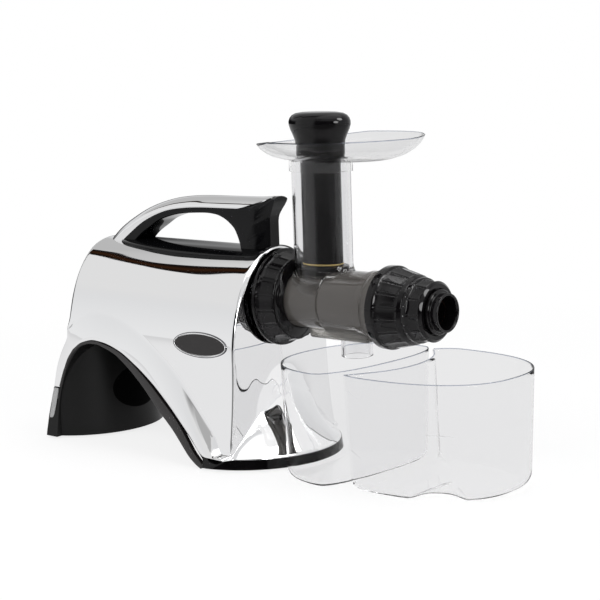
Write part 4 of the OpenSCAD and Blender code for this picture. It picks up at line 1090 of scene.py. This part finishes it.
def flutes(count, first, last, depth, groove):
    # flat faces round a band between two places on the axis, with a fine groove at each ridge
    half = math.pi / count

    def shape(a, x, r):
        if x < first or x > last:
            return r
        local = (a % (2 * half)) - half
        flat = r * math.cos(half) / math.cos(local)
        ridge = max(0.0, 1 - abs(abs(local) - half) / band["ridge"])
        fade = min(1, *(d / band["fade"] + band["fadeStart"] for d in (x - first, last - x)))
        return r + (flat - r) * depth * fade - groove * ridge * fade
    return shape


def makeTurned(name, piece, finish, body, replaced=None, edge=0.3, angle=32):
    # a piece is its (x, r) outline, or what lies behind its fluted band, the band and what lies before it
    if "band" in piece:
        outline = piece["behind"] + taper(*piece["band"]) + piece["before"]
        obj = turned(name, outline, band["steps"], flutes(*piece["flutes"]))
    else:
        obj = turned(name, piece["outline"])
    finishPiece(obj, finish, body, replaced, edge, angle)


ring = {
    "behind": [(6, 47.5), (6, 55), (9, 55), (9.3, 52.8)],
    "band": ((9.8, 52), (29.2, 47.4), 12),  # both ends and the steps between them
    "before": [(29.9, 46.8), (29.6, 45.4), (29.6, 33.4), (18.6, 33.4), (18.6, 47.5)],
    "flutes": (18, 9.5, 31.2, 1.9, 1.5),  # how many, first and last place, depth, groove
}
# black cone that closes the ring's front; it sits on the drum and comes away with it
collar = {"outline": [(29.7, 33.4), (29.7, 44.4), (30.5, 44.2), (34, 34.6), (34.2, 33.4)]}

makeTurned("lockingRing", ring, "blackGloss", "ring", "locking_ring", 0.45)
makeTurned("drumCollar", collar, "blackGloss", "drum")
print("ring ready")

drum = {
    "outline": [(12.3, 29), (12.3, 44), (17.3, 44), (18.3, 32), (77, 32), (79.5, 32.8), (82.5, 35.2), (85, 36),
                (133, 36), (133.8, 38), (141.5, 38), (142, 38.7), (143.5, 38.7), (144, 38), (150, 38),
                (151, 42.4), (156, 42.4), (156.1, 35.5), (186, 35.5), (186, 33), (84, 33), (84, 29)],
    "rearRadius": 32, "step": 81, "midRadius": 36,  # of the tube's outside where the chute stands
    "troughHalf": 24, "troughBack": 62, "troughFront": 143, "troughLow": 147, "troughHigh": 168,
    "troughWall": 3, "troughRound": 3.5,
    "corePlay": 0.2, "coreMiddle": 100, "coreLength": 200,  # of the tool that cuts the trough to the tube
    "spoutX": 110, "spoutRadius": 17.5, "spoutWall": 2.5, "spoutLow": 127, "spoutSteps": 96,
    "spoutEdge": 0.8, "spoutInnerEdge": 0.6,
}


def addBox(name, low, high):
    # a box between two corners
    middle = [(a + b) / 2 * mm for a, b in zip(low, high)]
    bpy.ops.mesh.primitive_cube_add(size=1, location=middle)
    box = bpy.context.object
    box.name = name
    box.scale = [(b - a) * mm for a, b in zip(low, high)]
    bpy.ops.object.transform_apply(location=True, rotation=True, scale=True)
    return box


def makeDrum():
    d = drum
    makeTurned("drumTube", d, "smokyPlastic", "drum", "drum", 0.5, 35)
    # the juice trough under it, a rounded box open at the top
    half, wall = d["troughHalf"], d["troughWall"]
    back, front, low = d["troughBack"], d["troughFront"], d["troughLow"]
    trough = addBox("drumTrough", (back, -half, low), (front, half, d["troughHigh"]))
    soften(trough, d["troughRound"], 5, 30)
    # tools that cut the drum's bore and the trough's room
    bpy.ops.mesh.primitive_cylinder_add(vertices=144, radius=(d["midRadius"] - d["corePlay"]) * mm,
                                        depth=d["coreLength"] * mm, rotation=(0, quarter, 0),
                                        location=(d["coreMiddle"] * mm, 0, axisHeight * mm))
    core = bpy.context.object
    room = addBox("troughRoom", (back + wall, wall - half, low + wall),
                  (front - wall, half - wall, axisHeight))
    for tool in (core, room):
        cut = trough.modifiers.new("cut", "BOOLEAN")
        cut.operation = "DIFFERENCE"
        cut.solver = "EXACT"
        cut.object = tool
        bake(trough)
        bpy.data.objects.remove(tool)
    finishPiece(trough, "troughPlastic", "drum", angle=35)


def makeSpout():
    d = drum
    outer, low, high = d["spoutRadius"], d["spoutLow"], d["troughLow"]
    inner = outer - d["spoutWall"]
    edge, innerEdge = d["spoutEdge"], d["spoutInnerEdge"]
    outline = [(outer, high), (outer, low + edge), (outer - edge, low), (inner + innerEdge, low),
               (inner, low + innerEdge), (inner, high)]
    obj = loft("juiceSpout", [ovalLoop(d["spoutX"], r, r, z, d["spoutSteps"]) for r, z in outline], True)
    finishPiece(obj, "clearPlastic", "drum", "juice_spout", angle=35)


chute = {"x": 66, "halfLength": 36, "halfWidth": 27, "wall": 3, "top": 341, "foot": 4.5, "footHigh": 12,
         "footSink": 1.5, "footLift": 0.2, "footInside": 1, "footSteps": 6, "edge": 0.6,
         # how far down the wall its loops stand
         "outsideShares": (0.25, 0.5, 0.75, 0.9), "insideShares": (0.6, 0.3)}


def drumTop(x, y):
    # height of the drum's outside above a point in plan
    r = drum["rearRadius"] if x < drum["step"] else drum["midRadius"]
    return axisHeight + math.sqrt(max(0, r * r - y * y))


def makeChute():
    c = chute
    top, edge = c["top"], c["edge"]

    def wallLoop(grow, height):
        # height says how high the loop stands above a place on the drum
        return [(x, y, height(drumTop(x, y)))
                for x, y, _ in ovalLoop(c["x"], c["halfLength"] + grow, c["halfWidth"] + grow, 0)]
    # outside from the top down to a fillet that spreads on the drum, then up the inside
    loops = [wallLoop(-edge, lambda low: top), wallLoop(0, lambda low: top - edge)]
    loops += [wallLoop(0, lambda low: top + (low + c["footHigh"] - top) * t)
              for t in c["outsideShares"]]
    for a in evenly(0, quarter, c["footSteps"]):
        high = c["footHigh"] * (1 - math.sin(a))
        loops.append(wallLoop(c["foot"] * (1 - math.cos(a)), lambda low: low + high - c["footLift"]))
    loops += [wallLoop(grow, lambda low: low - c["footSink"]) for grow in (c["footInside"], -c["wall"])]
    loops += [wallLoop(-c["wall"], lambda low: top + (low - top) * t) for t in c["insideShares"]]
    loops += [wallLoop(-c["wall"], lambda low: top - edge), wallLoop(edge - c["wall"], lambda low: top)]
    obj = loft("feedChute", loops, True)
    finishPiece(obj, "clearPlastic", "drum", "feed_chute", angle=35)


makeDrum()
makeSpout()
makeChute()
print("drum ready")

endCap = {
    "behind": [(156.3, 36.2), (156.3, 45.5), (164.6, 45.5), (166, 44.5), (166.4, 44)],
    "band": ((167, 44), (191.6, 38.6), 12, 1.2),
    "before": [(192.6, 38), (195.5, 35.8), (196.3, 35.2), (196.3, 25), (217.6, 25), (217.6, 20), (188, 20),
               (188, 36.2)],
    "flutes": (18, 166.5, 192.2, 1.9, 1.4),
}
dial = {
    "behind": [(196.6, 25.3), (196.6, 35.2), (201.4, 35.2), (202, 34.2)],
    "band": ((202.4, 34.2), (216.6, 32.6), 8),
    "before": [(217, 32.8), (219.6, 29.8), (219.6, 25.3)],
    "flutes": (12, 202, 216.8, 1.5, 1.4),
    # raised dots of the pulp scale: how many, size, degrees apart, angle between the second and third, place
    "marks": 6, "markSize": 0.5, "markStep": 17, "markMiddle": -66, "markX": 199.4, "markRadius": 35.2,
    "bigMark": 1.5, "bigEvery": 3,
}
nozzle = {
    "outline": [(200, 17.3), (200, 19.7), (219.8, 19.7), (219.8, 24.4), (222.8, 24.4), (223.6, 23.6),
                (223.8, 21.2), (224.6, 20.6), (230.6, 20.8), (232.1, 21), (232.6, 20.5), (232.6, 18.7),
                (232, 18.2), (229.6, 17.3)],
}


def makeDots():
    d = dial
    for i in range(d["marks"]):
        size = d["markSize"] * (d["bigMark"] if i % d["bigEvery"] == 0 else 1) * mm
        a, r = math.radians(d["markMiddle"] - d["markStep"] * (i - 1.5)), d["markRadius"]
        place = [v * mm for v in (d["markX"], r * math.sin(a), axisHeight + r * math.cos(a))]
        bpy.ops.mesh.primitive_uv_sphere_add(segments=16, ring_count=8, radius=size, location=place)
        dot = bpy.context.object
        dot.name = "dialDot%d" % i
        bpy.ops.object.transform_apply(location=True, rotation=True, scale=True)
        smooth(dot, 60)
        mount(dot, "markPaint", "dial")


makeTurned("endCap", endCap, "blackGloss", "cap", "end_cap", 0.4)
makeTurned("adjustingDial", dial, "blackGloss", "dial", "adjusting_dial", 0.4)
makeDots()
makeTurned("pulpNozzle", nozzle, "blackGloss", "nozzle", "pulp_nozzle")
print("end cap ready")

tray = {
    "x": 66, "front": 123, "back": 66, "half": 96, "widest": 39, "frontPower": 1.35, "backPower": 1.12,
    "floor": 341.3, "deep": 25, "drop": 7.5, "wall": 2.2, "steps": 192,
    "rimRise": 0.7, "rimInset": (0.7, 0.6, 0.8), "floorGap": 0.4, "backWall": 0.8,
    # collar that sits on the chute, and the bead round the rim that paints the rim's reflected grey-blue line
    "socketLow": 329, "socketGrow": 2.4, "socketPlay": 0.3, "socketEdge": 0.6, "holeWall": 3,
    "socketSink": 0.2, "bead": 0.5, "beadInset": (1.0, 0.9, 1.1), "beadDrop": 0.1,
    # from rim to floor: how far inwards at the front, back and side, height above the floor
    "section": [(0, 0, 0, 25), (1.2, 1, 2, 22), (4, 3, 7.5, 17), (9, 6, 17, 11.5), (17, 10, 29, 6.5),
                (28, 16, 44, 3.0), (40, 21, 58, 1.0), (52, 26, 70, 0.0)],
}


def trayLoop(front, back, side, z, tilt=0.0):
    # tilt says how much of the rear end's drop the loop takes
    t = tray
    loop = []
    for a in roundTurn(t["steps"]):
        c, s = math.cos(a), math.sin(a)
        reach = (t["front"] - front - t["widest"]) if c > 0 else (t["back"] - back + t["widest"])
        x = t["x"] + t["widest"] + reach * c
        power = t["frontPower"] if c > 0 else t["backPower"]
        y = (t["half"] - side) * math.copysign(abs(s) ** power, s)
        fall = t["drop"] * max(0, min(1, (t["x"] - x) / t["back"])) * tilt
        loop.append((x, y, z - fall))
    return loop


def beadPiece(name, body, loopAt):
    # a tinted clear bead along the rim paints the thin grey-blue line that the rounded rim's reflections make
    # (painted reflection); loopAt gives the loop for a turn of the bead
    line = loft(name, [loopAt(math.cos(c), math.sin(c)) for c in roundTurn(8)], True)
    finishPiece(line, "paintedRimReflection", body, angle=60)


def makeTray():
    t = tray
    wall, floor, top = t["wall"], t["floor"], t["floor"] + t["deep"] + t["rimRise"]
    outside, inside = [], []
    for front, back, side, high in t["section"]:
        share, low = high / t["deep"], floor + max(wall, high + t["floorGap"])
        outside.append(trayLoop(front, back, side, floor + high, share))
        inside.append(trayLoop(front + wall, back + wall * t["backWall"], side + wall, low, share))

    def oval(grow, z, steps=144):
        return ovalLoop(t["x"], chute["halfLength"] + grow, chute["halfWidth"] + grow, z, steps)
    holeLow, hole = (oval(-t["holeWall"], z, t["steps"]) for z in (floor, floor + wall))
    rim = trayLoop(*t["rimInset"], top, 1)
    dish = loft("trayDish", [holeLow] + outside[::-1] + [rim] + inside + [hole], True)
    grow, play, edge, low = t["socketGrow"], t["socketPlay"], t["socketEdge"], t["socketLow"]
    seat = floor + t["socketSink"]
    socket = loft("traySocket", [oval(grow, seat), oval(grow, low + edge), oval(grow - edge, low),
                                 oval(play, low), oval(play, seat)], True)
    tidyMesh(dish)
    tidyMesh(socket)
    obj = join("foodTray", [dish, socket])
    smooth(obj, 50)
    mount(obj, "trayPlastic", "tray", "tray")
    bead = t["bead"]
    beadPiece("trayRim", "tray", lambda c, s: trayLoop(*[inset + bead * c for inset in t["beadInset"]],
                                                       top - bead - t["beadDrop"] + bead * s, 1))


pusher = {
    "x": 66, "low": 220, "stemA": 24.5, "stemB": 18, "footA": 32.6, "footB": 21.6,
    "sealLow": 226.2, "sealHigh": 227.9, "sealOut": 0.3, "sealRound": 0.4,
    # height, half length, half width of the outside from the foot's top to the knob's top
    "section": [(225, 32.0, 21.2), (225.3, 24.5, 18), (338, 24.5, 18), (343, 28.5, 20.6), (348, 30, 21.4),
                (356, 30.2, 21.5), (363, 31, 22), (369, 33.6, 23.6), (375, 36.6, 25.4), (380, 38.3, 26.4),
                (383.5, 38.3, 26.4), (387, 37, 25.4), (390, 34.4, 23.4), (392.2, 30, 20), (393.5, 22, 14),
                (394, 10, 6), (394, 0.01, 0.01)],
}


def makePusher():
    p = pusher
    a, b, low = p["footA"], p["footB"], p["low"]
    foot = [(low, 0.01, 0.01), (low, a - 1, b - 1), (low + 1, a, b), (low + 4, a, b)]
    obj = loft("pusherBody", [ovalLoop(p["x"], a, b, z) for z, a, b in foot + p["section"]])
    finishPiece(obj, "blackGloss", "pusher", "pusher", angle=50)


def makePusherSeal():
    # slim amber ring round the pusher just above its foot
    p = pusher
    low, high, out = p["sealLow"], p["sealHigh"], p["sealOut"]
    outline = [(-1, low), (out, low), (out + p["sealRound"], (low + high) / 2), (out, high), (-1, high)]
    loops = [ovalLoop(p["x"], p["stemA"] + grow, p["stemB"] + grow, z) for grow, z in outline]
    obj = loft("pusherSeal", loops, True)
    finishPiece(obj, "amberSilicone", "pusher", "pusher_seal", angle=50)


makeTray()
makePusher()
makePusherSeal()
print("tray ready")

bins = {
    "height": 125, "wall": 1.7, "bead": 0.5, "draft": 4, "steps": 320, "blend": 2.0, "rimRound": 0.5,
    "farthest": 260.0, "rounds": 40, "beadDrop": 0.1, "footSteps": 7, "levels": [20, 32, 44, 56],
    "highLevels": [84, 96, 108, 118, 124.3],
}
juiceBin = {
    "x": 123.5, "y": 0, "front": 31, "back": 87, "backNear": 87, "half": 94, "square": 2.3, "turn": -5,
    "foot": 9, "seatX": 112,
    # the back is hollowed round the front foot: centre, radius at the foot and at the rim
    "hollow": (-48, 0, 107, 79),
}
pulpBin = {
    "x": 186, "y": 8, "front": 128, "back": 52, "backNear": 75, "half": 93.5, "square": 2.4, "turn": 0,
    "foot": 12, "seatX": 232,
    # the back is hollowed round the juice bin
    "hollow": (75, 2, 115, 111),
    # finger recess low on the front: direction and half span in degrees, depth, height of its arch,
    # lift of its foot, and the heights where its wall needs more loops
    "gripTurn": -69, "gripSpan": 26, "gripDepth": 5.0, "gripHigh": 72, "gripLift": 6.5,
    "gripSag": 9, "gripSoft": 2.4, "gripFoot": 30,
    "gripLevels": [60, 61.5, 63, 64.5, 66, 67, 68, 69, 69.6, 70.2, 70.8, 71.4, 72, 72.6],
}


def rayToOutline(b, ux, uy, inset):
    # distance from the bin's seat along (ux, uy) to its rounded outline
    turn = math.radians(b["turn"])
    cos, sin = math.cos(turn), math.sin(turn)

    def inside(d):
        px, py = b["seatX"] + ux * d - b["x"], uy * d
        lx, ly = px * cos + py * sin, py * cos - px * sin
        reach = b["front"] if lx > 0 else b["backNear"] if ly < 0 else b["back"]
        sizes = (abs(lx) / (reach - inset), abs(ly) / (b["half"] - inset))
        return sum(size ** b["square"] for size in sizes) <= 1
    return edgeOf(inside, bins["farthest"], bins["rounds"])


def rayToHollow(b, ux, uy, z, inset):
    # distance from the seat to the near side of the hollow's circle, or None where the ray misses it
    cx, cy, rLow, rHigh = b["hollow"]
    r = rLow + (rHigh - rLow) * z / bins["height"] + inset
    dx, dy = cx - b["seatX"], cy - b["y"]
    along = dx * ux + dy * uy
    square = r * r - (dx * dx + dy * dy - along * along)
    return along - math.sqrt(square) if square > 0 and along > 0 else None


def gripDent(b, a, z):
    # how far the finger recess pushes the wall in and lifts its foot
    if "gripTurn" not in b:
        return 0.0, 0.0
    turn = (math.degrees(a) - b["gripTurn"] + 180) % 360 - 180
    u = abs(turn / b["gripSpan"])
    if u >= 1:
        return 0.0, 0.0
    side = (1 - u ** 3) ** 2
    gate = min(1, max(0, (b["gripHigh"] - b["gripSag"] * u ** 3 - z) / b["gripSoft"]))
    gate = gate * gate * (3 - 2 * gate)
    return b["gripDepth"] * side * gate, b["gripLift"] * side * max(0, 1 - z / b["gripFoot"])


def binLoop(b, z, inset):
    loop = []
    lean, blend = bins["draft"] * (1 - z / bins["height"]), bins["blend"]
    for a in roundTurn(bins["steps"]):
        ux, uy = math.cos(a), math.sin(a)
        far = rayToOutline(b, ux, uy, inset + lean)
        d = rayToHollow(b, ux, uy, z, inset)
        if d is not None:
            # the nearer of the two, with a soft corner between them
            soft = max(blend - abs(far - d), 0) / blend
            far = min(far, d) - soft * soft * blend / 4
        sink, lift = gripDent(b, a, z)
        loop.append((b["seatX"] + ux * (far - sink), b["y"] + uy * (far - sink), z + lift))
    return loop


def makeBin(name, b, node):
    high, wall, edge = bins["height"], bins["wall"], bins["rimRound"]
    outside, inside = [], []
    for i in range(bins["footSteps"] + 1):
        a = quarter * i / bins["footSteps"]
        inset, z = b["foot"] * (1 - math.sin(a)), b["foot"] * (1 - math.cos(a))
        outside.append(binLoop(b, z, inset))
        inside.append(binLoop(b, z + wall, inset + wall))
    for z in bins["levels"] + b.get("gripLevels", []) + bins["highLevels"]:
        outside.append(binLoop(b, z, 0))
        inside.append(binLoop(b, z, wall))

    def towards(loop, share):
        return [between((b["seatX"], b["y"], z), (x, y, z), share) for x, y, z in loop]
    rims = [binLoop(b, high, edge), binLoop(b, high, wall - edge)]
    floors = [[(b["seatX"], b["y"], z)] * bins["steps"] for z in (0.0, wall)]
    loops = [floors[0], towards(outside[0], 0.5)] + outside + rims
    loops += inside[::-1] + [towards(inside[0], 0.5), floors[1]]
    finishPiece(loft(name, loops), "binPlastic", node, node, angle=50)
    # the rim bead paints the rim's reflected grey-blue line
    bead = bins["bead"]
    top = high - bead - bins["beadDrop"]
    beadPiece(name + "Rim", node, lambda c, s: binLoop(b, top + bead * s, wall / 2 + bead * c))


makeBin("juiceBin", juiceBin, "juice_bin")
makeBin("pulpBin", pulpBin, "pulp_bin")
print("bins ready")
